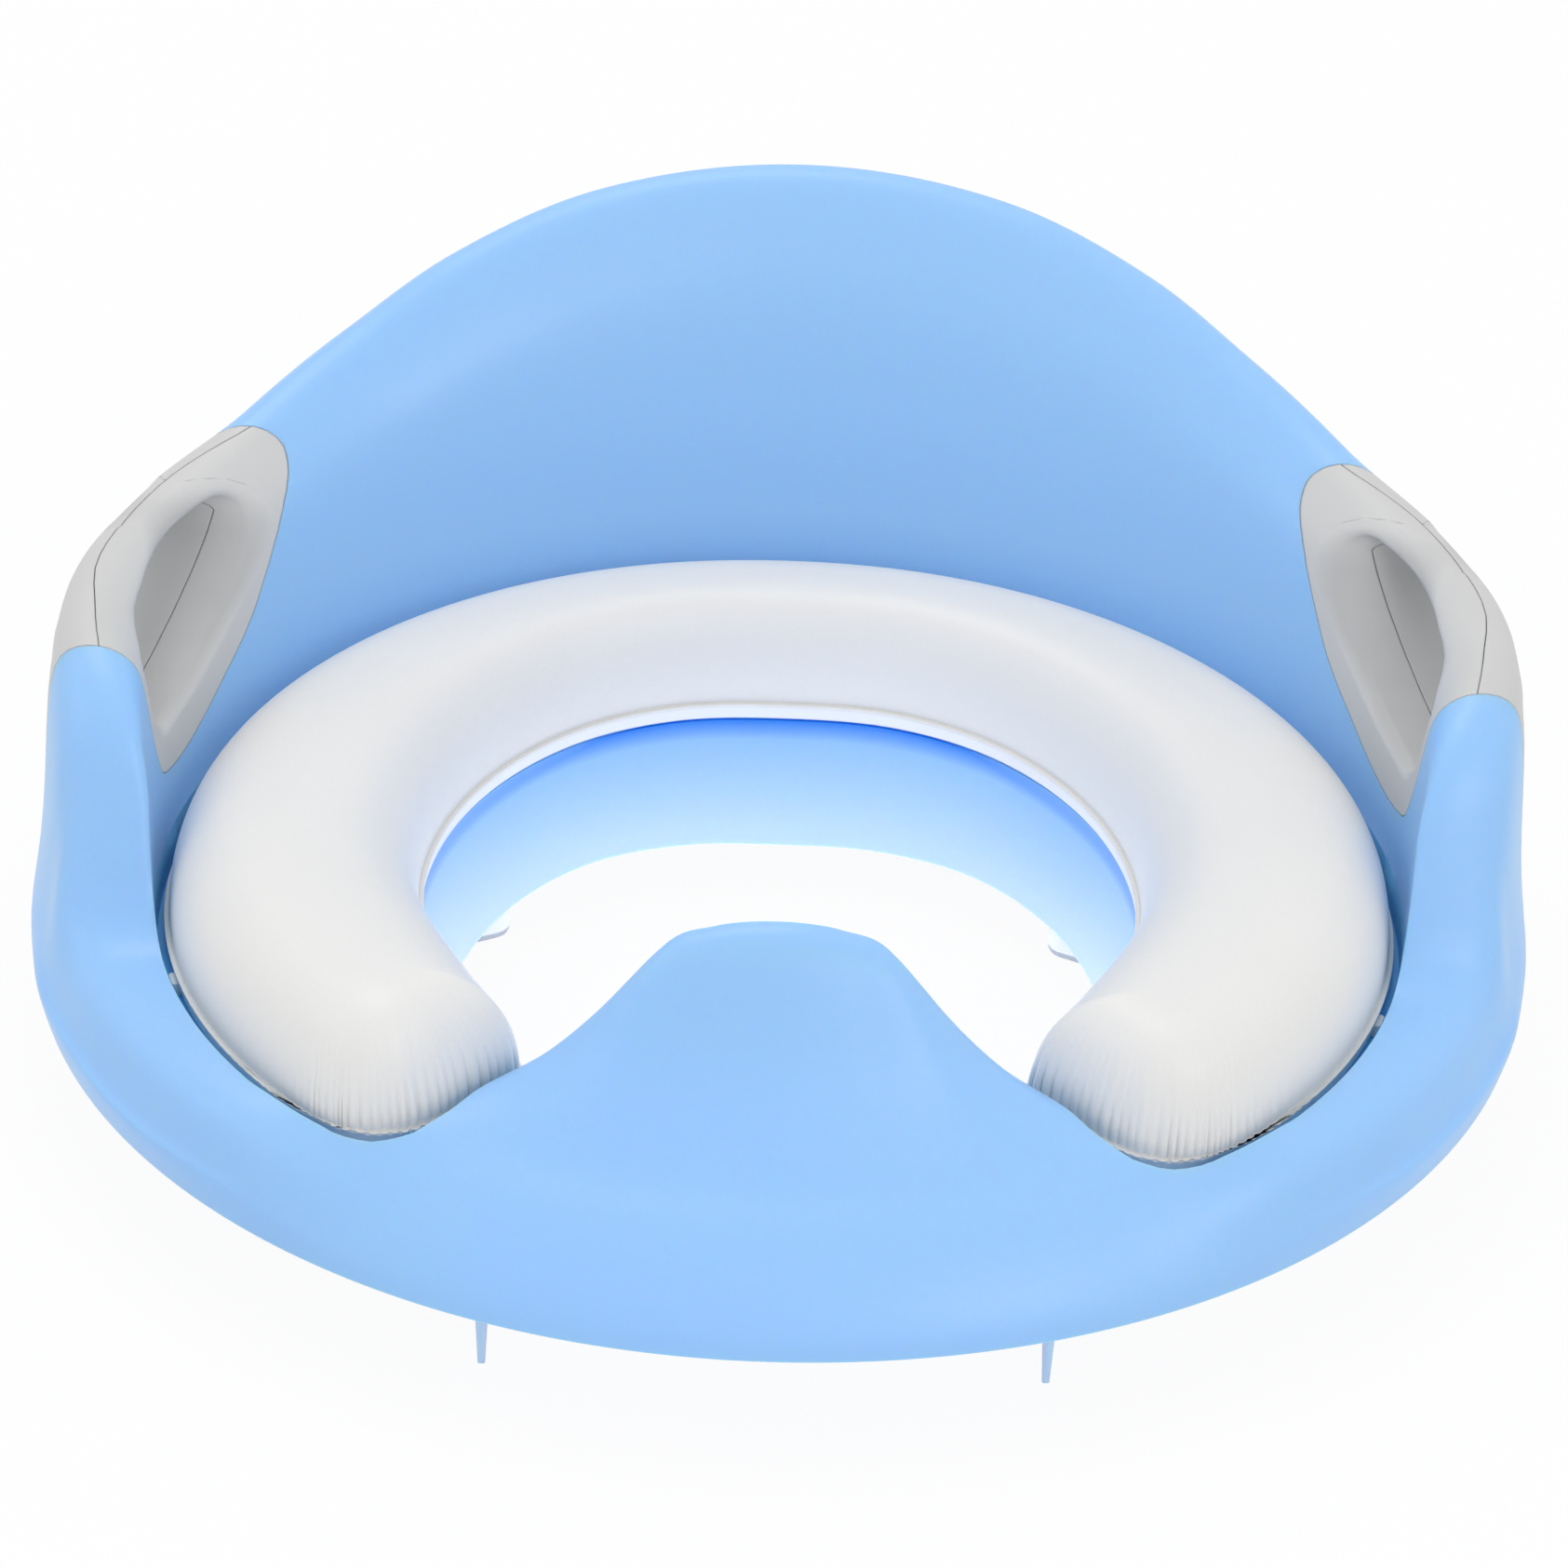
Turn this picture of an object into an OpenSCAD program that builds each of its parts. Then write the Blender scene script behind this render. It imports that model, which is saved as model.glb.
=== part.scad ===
// Potty training seat: a drafted shell moulding with backrest, arms and splash guard,
// two clamped handle grips, a removable C-shaped cushion on its board, and four rubber pads.
// X is to the sitter's left and right, +Y is towards the backrest, Z = 0 is the underside of the pads.

/* [Shell] */
// Width across the base rim
seat_w = 400; // [385:1:415]
// Depth across the base rim
seat_d = 342; // [330:1:356]
// Height of the base rim above the underside of the pads
rim_lift = 30; // [28:0.5:33]
// Height of the deck above the base rim
deck_h = 29; // [28:0.5:32]
// Height of the backrest above the deck
back_h = 119; // [100:1:130]
// Height of the arms above the deck
arm_h = 63; // [58:0.5:66]
// Wall thickness of the moulding
wall_t = 2.6; // [2.2:0.1:3]
// Width across the top of the arms and backrest
crest_w = 22; // [20:0.5:24]

/* [Opening] */
// Distance from the side of the opening out to the rim
side_ring = 103.5; // [101.5:0.5:105.5]
// Distance from the front and back of the opening's full oval out to the rim
end_ring = 74.5; // [72.5:0.5:76.5]
// Distance from the middle of the rim forward to the middle of the opening
open_shift = 24; // [22:0.5:26]
// Height of the splash guard above the deck
guard_h = 46; // [36:1:54]
// Depth of the splash skirt below the base rim at the back
skirt_drop = 16; // [12:0.5:18]
// Wall thickness of the splash skirt
skirt_t = 2.2; // [1.8:0.1:2.6]
// Distance from the opening's edge back to the top of the splash skirt
skirt_inset = 0.6; // [0.4:0.1:1.2]

/* [Cushion] */
// Distance from the side of the cushion out to the rim
cushion_side = 37; // [35:0.5:40]
// Distance from the back of the cushion out to the rim
cushion_behind = 63; // [61:0.5:66]
// How far the cushion reaches over the opening's edge
cushion_reach = 3; // [2:0.25:4]
// Height of the crowned cushion above its board
cushion_h = 31; // [22:0.5:34]
// Gap between the cushion's edge and its recess
cushion_gap = 3.5; // [2.5:0.25:4.5]
// Height of the board's rim under the cushion
board_h = 4.8; // [3.8:0.2:5.2]
// Wall thickness of the board
board_t = 2.2; // [1.8:0.1:2.6]
// Diameter of the board's pegs
peg_d = 8; // [6:0.5:10]
// Length of the board's two side tabs
tab_l = 9; // [6:0.5:12]

/* [Handles] */
// Gap along the parting line and round the handles
part_gap = 0.3; // [0.3:0.05:0.5]
// Diameter of the handle screws
screw_d = 3.5; // [3:0.25:4]
// Diameter of the handle screw heads
screw_head_d = 6; // [5.5:0.25:6.5]

/* [Pads] */
// Length of a rubber pad
pad_l = 40; // [36:1:46]
// Width of a rubber pad
pad_w = 22; // [18:1:26]
// Height of a rubber pad
pad_h = 18; // [14:0.5:22]

/* [Hidden] */
rim_z = rim_lift;
deck_z = rim_z + deck_h;
floor_z = deck_z - 8.5;
board_z = floor_z + board_h;
cushion_z = board_z + 0.2;
open_a = seat_w / 2 - side_ring;
open_b = seat_d / 2 - end_ring;
cushion_a = seat_w / 2 - cushion_side;
cushion_back = seat_d / 2 + open_shift - cushion_behind;
// The cushion's oval is a little deeper in front of the opening's middle than behind it
cushion_front = cushion_back + 1;
eps = 0.01;
steps_across = 18;
hollow_across = 12;
// Angles of the sections, closer together where the arms rise
section_angles = [for (r = [[-90 : 6 : -30], [-26 : 2 : -2], [0 : 6 : 90]], a = r) a];
hollow_angles = [for (r = [[-90 : 7.5 : -30], [-26 : 3 : -2], [0 : 7.5 : 90]], a = r) a];
// Radius of the opening as a share of its full oval, against the angle round it
open_shape = [[-90, 0.757], [-76, 0.782], [-62, 0.87], [-55, 0.945], [-50, 1.01], [-45, 0.995], [-34, 0.966],
              [-20, 0.969], [-8, 0.99], [6, 1], [50, 1], [70, 0.982], [90, 0.958]];
// Rise of the arm from the deck, and of the backrest above the arm, against the same angle
arm_rise = [[-22, 0], [-17, 0.09], [-12.5, 0.4], [-8, 0.72], [-3, 0.88], [4, 0.96], [14, 1]];
back_rise = [[16, 0], [30, 0.1], [47, 0.4], [58, 0.66], [72, 0.9], [90, 1]];
// How far the grips swell out of the arm
grip_swell = [[-8, 0], [3, 0.7], [12, 1], [24, 0.8], [36, 0]];
grip_out = 5;
grip_up = 2;
// Distances in from the rim of a section's outer points, where the rim is low and where the arms stand tall,
// and the share of the grip's swell at each
edge_low = [15, 12, 7.5, 3.5, 1.5, 0.5];
edge_tall = [crest_w + 11.5, crest_w / 2 + 12, 13.5, 9, 5.5, 1.5];
edge_swell = [0, 0.4, 1, 1, 0.5, 0];
// Rise of the splash guard along the front of the opening
guard_rise = [[-90, 1], [-80, 1], [-70, 0.88], [-60, 0.4], [-52, 0.06], [-46, 0]];
// Slope of the guard out to the rim: share of the section's length, share of the guard's height, drop
guard_slope = [[0.11, 0.92, 0], [0.19, 0.73, 0], [0.28, 0.5, 0], [0.38, 0.3, 0], [0.48, 0.14, 0],
               [0.58, 0, 1], [0.68, 0, 4], [0.77, 0, 8]];
// Its foot: share of the section's length, share of the deck's height, share of the wall it moves in and down
guard_foot = [[0.85, 0.552, 0.4, 1], [0.92, 0.379, 0.7, 0.6], [0.97, 0.207, 1, 0], [0.99, 0.103, 1, 0]];
// Angle at which the cushion ends, from its inner edge to its outer edge
tip_angle = [[0, -50], [0.1, -51], [0.3, -50.2], [0.52, -49.6], [0.7, -48.6], [0.8, -47.6], [0.92, -45.2],
             [0.98, -42.2], [1, -38.5]];
tip_mean = -48;
// Distances from the cushion's end at which its rows lie
tip_rows = [0, 2, 6, 12, 20, 30];
tip_round = 30;
// Powers of the crown's curve: a higher one is flatter on top and fuller at the edge
fullness = 2.5;
tip_fullness = 0.45;
// Radius of the splash skirt's lower edge as a share of the opening's full oval, and height from the rim
skirt_shape = [[-60, 1.451], [-55, 1.275], [-46, 1.092], [-30, 0.969], [-10, 0.927], [5, 0.922], [50, 0.907],
               [70, 0.87], [90, 0.839]];
skirt_low = [[-60, -27], [-45, -25], [-20, -20], [0, -17], [20, -skirt_drop], [90, -skirt_drop]];
// Side view of a grip and of its finger hole: distance behind the middle, and share of the arm's height
grip_outline = [[-6, 1.43], [-7, 0.476], [-5, 0.278], [4, 0.222], [14, 0.225], [27, 0.29], [41, 0.405],
                [50, 0.508], [60, 0.69], [70, 0.889], [79, 1.032], [83, 1.119], [85, 1.43]];
finger_hole = [[8, 0.444], [20, 0.465], [31, 0.524], [41, 0.627], [49, 0.738], [55, 0.841], [56.5, 0.913],
               [46, 0.913], [28, 0.897], [14, 0.849], [5, 0.73], [4, 0.54]];
// Distance in from the rim of the handles' parting line, along the top of a grip and inside its finger hole
parting_top = [[-6, 23], [0, 21.7], [5, 18.7], [10, 15.6], [16, 14.9], [22, 14.3], [27, 15.2], [30.5, 19.2],
               [34, 21.5], [40, 23]];
parting_low = [[-6, 23], [2, 23], [10, 25], [22, 26], [28, 25], [34, 23], [40, 23]];
// Heights of the parting surface's rings as shares of the arm's height, and their share of the top's line
parting_levels = [[-0.4, 0], [0.8, 0], [0.98, 1], [2.4, 1]];

function slope_at(t, i) =
    i == 0 || i == len(t) - 1 ? 0 : (t[i + 1][1] - t[i - 1][1]) / (t[i + 1][0] - t[i - 1][0]);
function hermite(t, i, x) =
    let (w = t[i + 1][0] - t[i][0], u = (x - t[i][0]) / w)
    (2 * u * u * u - 3 * u * u + 1) * t[i][1] + (u * u * u - 2 * u * u + u) * w * slope_at(t, i)
    + (3 * u * u - 2 * u * u * u) * t[i + 1][1] + (u * u * u - u * u) * w * slope_at(t, i + 1);
function along(t, x) =
    x <= t[0][0] ? t[0][1] : x >= t[len(t) - 1][0] ? t[len(t) - 1][1]
    : hermite(t, max([for (i = [0 : len(t) - 2]) if (t[i][0] < x) i]), x);
function ease(a, b, x) = let (u = min(1, max(0, (x - a) / (b - a)))) u * u * (3 - 2 * u);
function mix(a, b, u) = a * (1 - u) + b * u;

function rim_pt(a) = [seat_w / 2 * cos(a), seat_d / 2 * sin(a)];
function oval(a) = norm([open_a * cos(a), open_b * sin(a)]);
function open_at(a) = oval(a) * along(open_shape, a);
function open_pt(a) = open_at(a) * [cos(a), sin(a)] - [0, open_shift];
// Distance along a section at which it crosses the recess outline, an oval round the opening's middle
function foot_at(a) =
    let (o = open_pt(a) + [0, open_shift], d = rim_pt(a) - open_pt(a),
         long = cushion_a + cushion_gap, deep = (a > 0 ? cushion_back : cushion_front) + cushion_gap,
         p = [o.x / long, o.y / deep], q = [d.x / long, d.y / deep],
         k = (-p * q + sqrt(pow(p * q, 2) - (q * q) * (p * p - 1))) / (q * q))
    k * norm(d);
function crest_h(a) = arm_h * along(arm_rise, a) + (back_h - arm_h) * along(back_rise, a);
// The hollow keeps a full wall where the crest slopes
function crest_in(a, t) = t == 0 ? crest_h(a) : min(crest_h(a - 0.9), crest_h(a + 0.9));

// One section of the moulding from the opening out to the rim: distance from the opening and height.
// The inset t gives the underside of the same section. The wall stands behind the recess, round the sides
// and the back, and the slope runs down from the splash guard in front: l is the section's length, f the
// wall's foot, h and g the heights of crest and guard, s the share of the slope and k that of a tall crest.
function wall_points(a, t, l, f, h, k) =
    let (w = along(grip_swell, a), top = deck_z + h + grip_up * w, low = (1 - k) * t,
         e = [for (i = [0 : len(edge_low) - 1])
              mix(edge_low[i], edge_tall[i], k) - edge_swell[i] * grip_out * w],
         c = l - e[0])
    [[0.35 * f, deck_z - t], [f - 12, deck_z - t], [f - 2 + 0.5 * t, deck_z - t],
     [f + 1.5 + t, deck_z + 0.07 * h - 0.6 * t],
     [mix(f + 2, c, 0.35) + t, deck_z + 0.4 * h - low],
     [mix(f + 2, c, 0.72) + t, deck_z + 0.78 * h - low],
     [c + t, top - 0.13 * h - low], [l - e[1] + 0.5 * t, top + 0.022 * h - t],
     [l - e[2] - 0.6 * t, top + 0.022 * h - 2 * (1 - k) - t], [l - e[3] - t, top - mix(9, 12, k)],
     [l - e[4] - t, mix(rim_z, top, 0.5)], [l - e[5] - t, rim_z + 12]];
function slope_points(t, l, g) =
    concat([for (p = guard_slope) [p[0] * l, deck_z + p[1] * g - p[2] - 1.2 * t]],
           [for (p = guard_foot) [p[0] * l - p[2] * t, rim_z + p[1] * deck_h - p[3] * t]]);
function section(a, t) =
    let (l = norm(rim_pt(a) - open_pt(a)), h = crest_in(a, t), g = guard_h * along(guard_rise, a),
         s = 1 - ease(-62, -42, a), k = ease(0, 36, h),
         wall = wall_points(a, t, l, foot_at(a), h, k), slope = slope_points(t, l, g))
    concat([[t, deck_z + g - t], [t + 2 + 1.5 * s, deck_z + g - t]],
           [for (i = [0 : len(wall) - 1]) mix(wall[i], slope[i], s)],
           [[l - t, rim_z]]);

function spline_pt(p, u) =
    let (n = len(p) - 3, x = u * n, i = min(n - 1, floor(x)), v = x - i)
    (pow(1 - v, 3) * p[i] + (3 * v * v * v - 6 * v * v + 4) * p[i + 1]
     + (-3 * v * v * v + 3 * v * v + 3 * v + 1) * p[i + 2] + v * v * v * p[i + 3]) / 6;
function spline(p, m) =
    let (q = concat([p[0], p[0]], p, [p[len(p) - 1], p[len(p) - 1]])) [for (i = [0 : m]) spline_pt(q, i / m)];

// Closed rows of points round the seat, mirrored left to right, and the skin over them
function shell_row(b, t, m, low) =
    let (a = b > 90 ? 180 - b : b, o = open_pt(a), d = rim_pt(a) - o, u = d / norm(d),
         // Under the deck the hollow runs on to the skirt, and at the guard it keeps the rear wall
         x = mix(-8, t, 1 - ease(-54, -48, a)),
         line = t > 0 ? concat([[x, low], [x, floor_z - t - 1.3]], spline(section(a, t), m),
                               [[norm(d) - t, low]])
                      : concat([[0, low]], spline(section(a, 0), m)))
    [for (p = line) [(o.x + u.x * p[0]) * (b > 90 ? -1 : 1), o.y + u.y * p[0], p[1]]];
module skin(rows) {
    n = len(rows);
    m = len(rows[0]);
    polyhedron(points = [for (r = rows) each r],
               faces = [for (i = [0 : n - 1], j = [0 : m - 1])
                        let (a = i * m, b = (i + 1) % n * m, k = (j + 1) % m)
                        each [[a + j, b + k, a + k], [a + j, b + j, b + k]]]);
}
function round_angles(h) = concat(h, [for (i = [len(h) - 2 : -1 : 1]) 180 - h[i]]);
module envelope() skin([for (b = round_angles(section_angles)) shell_row(b, 0, steps_across, rim_z)]);
module hollow() skin([for (b = round_angles(hollow_angles)) shell_row(b, wall_t, hollow_across, rim_z - 2)]);

// Cushion outline from the inner edge (v = 0) to the outer edge (v = 1)
function cushion_out(a) = 1 / norm([cos(a) / cushion_a, sin(a) / (a > 0 ? cushion_back : cushion_front)]);
function cushion_in(a) = open_at(a) - cushion_reach;
function cushion_pt(a, v) = mix(cushion_in(a), cushion_out(a), v) * [cos(a), sin(a)] - [0, open_shift];
function edge_normal(a) =
    let (p = cushion_out(a) * [cos(a), sin(a)], deep = a > 0 ? cushion_back : cushion_front)
    atan2(p.y / pow(deep, 2), p.x / pow(cushion_a, 2));
function tip_at(v, d) =
    along(tip_angle, v) + d / mix(cushion_in(tip_mean), cushion_out(tip_mean), v) * 180 / PI;
function crown(v, d) =
    sqrt(1 - pow(abs(2 * v - 1), fullness)) * pow(1 - pow(1 - min(1, d / tip_round), fullness), tip_fullness);
tip_last = tip_rows[len(tip_rows) - 1];
body_rows = 16;
cushion_cols = 10;
function col_v(j) = (1 - cos(180 * j / cushion_cols)) / 2;
// Plan position and height share of the cushion's grid, from its right tip to the middle of the back
function half_rows() = concat(
    [for (d = tip_rows) [for (j = [0 : cushion_cols])
        let (v = col_v(j)) [cushion_pt(tip_at(v, d), v), crown(v, d)]]],
    [for (i = [1 : body_rows]) [for (j = [0 : cushion_cols])
        let (v = col_v(j), a = mix(tip_at(v, tip_last), 90, i / body_rows))
        [cushion_pt(a, v), crown(v, tip_last)]]]);
function mirrored(r) = [for (p = r) [[-p[0].x, p[0].y], p[1]]];
function cushion_rows() =
    let (h = half_rows(), n = len(h)) concat(h, [for (i = [n - 2 : -1 : 0]) mirrored(h[i])]);
function cushion_outline() =
    let (r = cushion_rows(), n = len(r), m = cushion_cols)
    concat([for (j = [0 : m]) r[0][j][0]], [for (i = [1 : n - 1]) r[i][m][0]],
           [for (j = [m - 1 : -1 : 0]) r[n - 1][j][0]], [for (i = [n - 2 : -1 : 1]) r[i][0][0]]);
module cushion_plan(grow) offset(r = grow, $fn = 16) polygon(cushion_outline());

// The skirt hangs from the edge of the opening, and its front ends run down under the deck
function skirt_row(b) =
    let (a = b > 90 ? 180 - b : b, r = oval(a) * along(skirt_shape, a), low = rim_z + along(skirt_low, a),
         edge = mix(r, open_at(a) - skirt_inset, ease(-45, -15, a)),
         top_z = mix(deck_z, floor_z - 0.6, ease(-54, -47, a)), side = b > 90 ? -1 : 1)
    [for (p = [[r, low], [r + skirt_t, low], [edge + skirt_t, top_z], [edge, top_z]])
        [side * p[0] * cos(a), p[0] * sin(a) - open_shift, p[1]]];
module skirt() {
    n = 48;
    rows = [for (i = [0 : n]) skirt_row(mix(-59.5, 239.5, i / n))];
    polyhedron(points = [for (r = rows) each r],
               faces = concat([[0, 2, 1], [0, 3, 2]],
                              [[n * 4, n * 4 + 1, n * 4 + 2], [n * 4, n * 4 + 2, n * 4 + 3]],
                              [for (i = [0 : n - 1], j = [0 : 3]) let (a = i * 4, b = a + 4, k = (j + 1) % 4)
                               each [[a + j, a + k, b + k], [a + j, b + k, b + j]]]));
}

// An outline in the side view, and a prism along X over one side's arm
module side_view(outline) polygon([for (p = outline) [p[0], deck_z + p[1] * arm_h]]);
module arm_prism(side, outline, grow, from, to)
    mirror([side < 0 ? 1 : 0, 0, 0])
    translate([from, 0, 0]) rotate([90, 0, 90]) linear_extrude(to - from)
    offset(r = 5, $fn = 24) offset(delta = grow - 5) side_view(outline);
// The space within the parting surface, which the inner halves lie in
function parting_pt(b, share, grow) =
    let (a = b > 90 ? 180 - b : b, o = open_pt(a), d = rim_pt(a) - o,
         k = 1 - (mix(along(parting_low, a), along(parting_top, a), share) - grow) / norm(d))
    [(o.x + d.x * k) * (b > 90 ? -1 : 1), o.y + d.y * k];
module parting_core(grow) {
    n = 72;
    points = [for (l = parting_levels, i = [0 : n - 1])
              let (p = parting_pt(i * 5 - 87.5, l[1], grow)) [p.x, p.y, deck_z + l[0] * arm_h]];
    last = n * (len(parting_levels) - 1);
    polyhedron(points = points,
               faces = concat([[for (i = [0 : n - 1]) i]], [[for (i = [n - 1 : -1 : 0]) last + i]],
                              [for (r = [0 : n : last - n], i = [0 : n - 1]) let (j = (i + 1) % n)
                               each [[r + i, r + n + j, r + j], [r + i, r + n + i, r + n + j]]]));
}
arm_from = seat_w * 0.3;
arm_to = seat_w / 2 + 20;

// Rounded mouths of the finger hole on the inner and outer faces of a grip: depth and growth of each layer
mouth_steps = [[-8, 5.4], [0, 5], [1, 2.7], [3, 0.6], [6, -0.5]];
// Where each face lies: distance from the middle at the hole's front end, and its lean along the arm
inner_face = [seat_w / 2 - 30.5, -0.36];
outer_face = [seat_w / 2 + 1, -0.17];
module mouth_slab(face, step, sign)
    multmatrix([[1, face[1], 0, face[0] + sign * step[0]], [0, 1, 0, 0], [0, 0, 1, 0], [0, 0, 0, 1]])
    rotate([90, 0, 90]) linear_extrude(0.02)
    offset(r = 4, $fn = 16) offset(delta = step[1] - 4) side_view(finger_hole);
module mouth(face, sign)
    for (i = [0 : len(mouth_steps) - 2]) hull() {
        mouth_slab(face, mouth_steps[i], sign);
        mouth_slab(face, mouth_steps[i + 1], sign);
    }

// Screws through a grip: distance behind the middle, share of the arm's height, head's seat in from the rim
screw_at = [[68.5, 0.984, 31.5], [0.5, 0.841, 12]];
screw_l = 16;
screw_head_h = 2.4;
module screw_place(side, s)
    mirror([side < 0 ? 1 : 0, 0, 0])
    translate([seat_w / 2 - s[2], s[0], deck_z + s[1] * arm_h]) rotate([0, 90, 0]) children();
module screw_bore(side)
    for (s = screw_at) screw_place(side, s) {
        translate([0, 0, -screw_l - 0.5]) cylinder(d = screw_d + 0.6, h = screw_l + 1, $fn = 24);
        cylinder(d = screw_head_d + 0.6, h = 40, $fn = 32);
    }
module handle_screws(side) {
    color("silver")
    for (s = screw_at) screw_place(side, s) difference() {
        union() {
            translate([0, 0, -screw_l + 3]) cylinder(d = screw_d, h = screw_l - 3 + eps, $fn = 16);
            translate([0, 0, -screw_l]) cylinder(d1 = 1, d2 = screw_d, h = 3, $fn = 16);
            cylinder(d1 = screw_head_d, d2 = screw_head_d - 1.6, h = screw_head_h, $fn = 24);
        }
        for (t = [0, 90]) rotate([0, 0, t]) translate([-screw_head_d * 0.3, -0.45, screw_head_h - 1.2])
            cube([screw_head_d * 0.6, 0.9, 2]);
    }
}

module grip(side) {
    difference() {
        intersection() {
            envelope();
            arm_prism(side, grip_outline, -part_gap, arm_from, arm_to);
        }
        arm_prism(side, finger_hole, 0, arm_from, arm_to);
        mirror([side < 0 ? 1 : 0, 0, 0]) {
            mouth(inner_face, 1);
            mouth(outer_face, -1);
        }
        screw_bore(side);
    }
}
module handle_half(side, inner) {
    color("gainsboro")
    if (inner) intersection() {
        grip(side);
        parting_core(-part_gap / 2);
    }
    else difference() {
        grip(side);
        parting_core(part_gap / 2);
    }
}

// Rubber pads: place of the middle, turn, on the right side. The front one stands clear of the skirt.
pad_clear = 1.6;
function skirt_pt(a) = oval(a) * along(skirt_shape, a) * [cos(a), sin(a)] - [0, open_shift];
pad_front_y = 71 - seat_d / 2;
beside = [for (a = [-60 : -20]) let (p = skirt_pt(a)) if (abs(p.y - pad_front_y) < pad_w / 2) p.x];
pad_front = [max(beside) + skirt_t + pad_clear + pad_l / 2, pad_front_y, 12];
pad_rear = [seat_w / 2 - 101, 31.5, -24];
module at_pad(p, side)
    mirror([side < 0 ? 1 : 0, 0, 0]) translate([p[0], p[1], 0]) rotate([0, 0, p[2]]) children();
module pad_block(l, w, r, h)
    hull() for (x = [-1, 1], y = [-1, 1])
        translate([x * (l / 2 - r), y * (w / 2 - r), 0]) cylinder(r = r, h = h, $fn = 16);
socket_depth = 7;
module pad(p, side) {
    color("whitesmoke")
    at_pad(p, side)
    difference() {
        pad_block(pad_l, pad_w, 5, pad_h);
        translate([0, 0, pad_h - socket_depth]) pad_block(pad_l - 8, pad_w - 8, 3, socket_depth + eps);
    }
}
module pad_post(p, side)
    at_pad(p, side)
    translate([0, 0, pad_h - socket_depth])
    difference() {
        pad_block(pad_l - 8 - 2 * part_gap, pad_w - 8 - 2 * part_gap, 3, deck_z);
        translate([0, 0, -eps])
            pad_block(pad_l - 12, pad_w - 12, 1.5, floor_z - wall_t - 2 - pad_h + socket_depth);
    }

// Share of the rim's oval that the posts and ribs keep to
under_share = 0.97;
rib_t = 1.8;
rib_at = [-37, 8, 29, 66, 90];
peg_at = [[-14, 0.52], [48, 0.5]];
peg_drop = 8;
// Side tabs of the board: angle round the opening, and how far they stand out
tab_at = -11;
tab_reach = 3;
module at_pegs()
    for (p = peg_at, side = [-1, 1]) let (c = cushion_pt(p[0], p[1]))
        translate([side * c.x, c.y, 0]) children();
function open_side(b) = let (o = open_pt(b > 90 ? 180 - b : b)) [b > 90 ? -o.x : o.x, o.y];
module ribs()
    for (a = rib_at, side = [-1, 1])
        if (a < 90 || side > 0)
            translate([0, -open_shift, rim_z + 7]) rotate([0, 0, side > 0 ? a : 180 - a])
            translate([open_at(a), -rib_t / 2, 0]) cube([seat_w / 2, rib_t, deck_z - rim_z - 8]);

module seat_shell() {
    color("lightskyblue")
    difference() {
        union() {
            difference() {
                envelope();
                difference() {
                    hollow();
                    translate([0, 0, floor_z - wall_t]) linear_extrude(deck_z)
                        cushion_plan(cushion_gap + wall_t);
                    for (side = [-1, 1]) arm_prism(side, grip_outline, wall_t, arm_from, arm_to);
                }
            }
            intersection() {
                union() {
                    skirt();
                    ribs();
                    for (side = [-1, 1], p = [pad_front, pad_rear]) pad_post(p, side);
                }
                union() {
                    envelope();
                    linear_extrude(rim_z + 1) scale([seat_w, seat_d]) circle(d = under_share, $fn = 90);
                    linear_extrude(floor_z + 1) offset(r = 1, $fn = 8)
                        polygon([for (b = round_angles(section_angles)) open_side(b)]);
                }
            }
        }
        translate([0, 0, floor_z]) linear_extrude(deck_z) cushion_plan(cushion_gap);
        at_pegs() translate([0, 0, floor_z - 20]) cylinder(d = peg_d + 0.8, h = 30, $fn = 32);
        for (side = [-1, 1]) arm_prism(side, grip_outline, 0, arm_from, arm_to);
    }
}

module cushion() {
    color("seashell") {
        rows = cushion_rows();
        n = len(rows);
        m = cushion_cols + 1;
        flange = 2;
        rise = cushion_h - flange;
        top = [for (r = rows) [for (p = r) [p[0].x, p[0].y, cushion_z + flange + rise * p[1]]]];
        low = [for (r = rows) [for (p = r) [p[0].x, p[0].y, cushion_z]]];
        // Each row runs over the top and back underneath
        loops = [for (i = [0 : n - 1]) concat(top[i], [for (j = [m - 1 : -1 : 0]) low[i][j]])];
        k = 2 * m;
        polyhedron(points = [for (r = loops) each r],
                   faces = concat(
                       [for (i = [0 : n - 2], j = [0 : k - 1]) let (a = i * k, b = a + k, c = (j + 1) % k)
                        each [[a + j, b + j, b + c], [a + j, b + c, a + c]]],
                       [for (j = [0 : m - 2]) each [[j, j + 1, k - 2 - j], [j, k - 2 - j, k - 1 - j]]],
                       [for (j = [0 : m - 2]) let (a = (n - 1) * k)
                        each [[a + j, a + k - 2 - j, a + j + 1], [a + j, a + k - 1 - j, a + k - 2 - j]]]));
    }
}

module cushion_board() {
    color("white") {
        difference() {
            translate([0, 0, floor_z]) linear_extrude(board_h) cushion_plan(0);
            translate([0, 0, floor_z - eps]) linear_extrude(board_h - board_t) cushion_plan(-board_t);
        }
        for (side = [-1, 1]) let (p = cushion_pt(tab_at, 1), turn = edge_normal(tab_at))
            translate([side * p.x, p.y, floor_z]) rotate([0, 0, side > 0 ? turn : 180 - turn])
            translate([-board_t, -tab_l / 2, 0]) cube([board_t + tab_reach, tab_l, board_h - 1]);
        at_pegs() translate([0, 0, floor_z - peg_drop]) difference() {
            cylinder(d = peg_d, h = peg_drop + board_h - board_t + eps, $fn = 32);
            translate([0, 0, -eps]) cylinder(d = peg_d - 2 * board_t + 0.4, h = peg_drop, $fn = 24);
        }
    }
}

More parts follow.
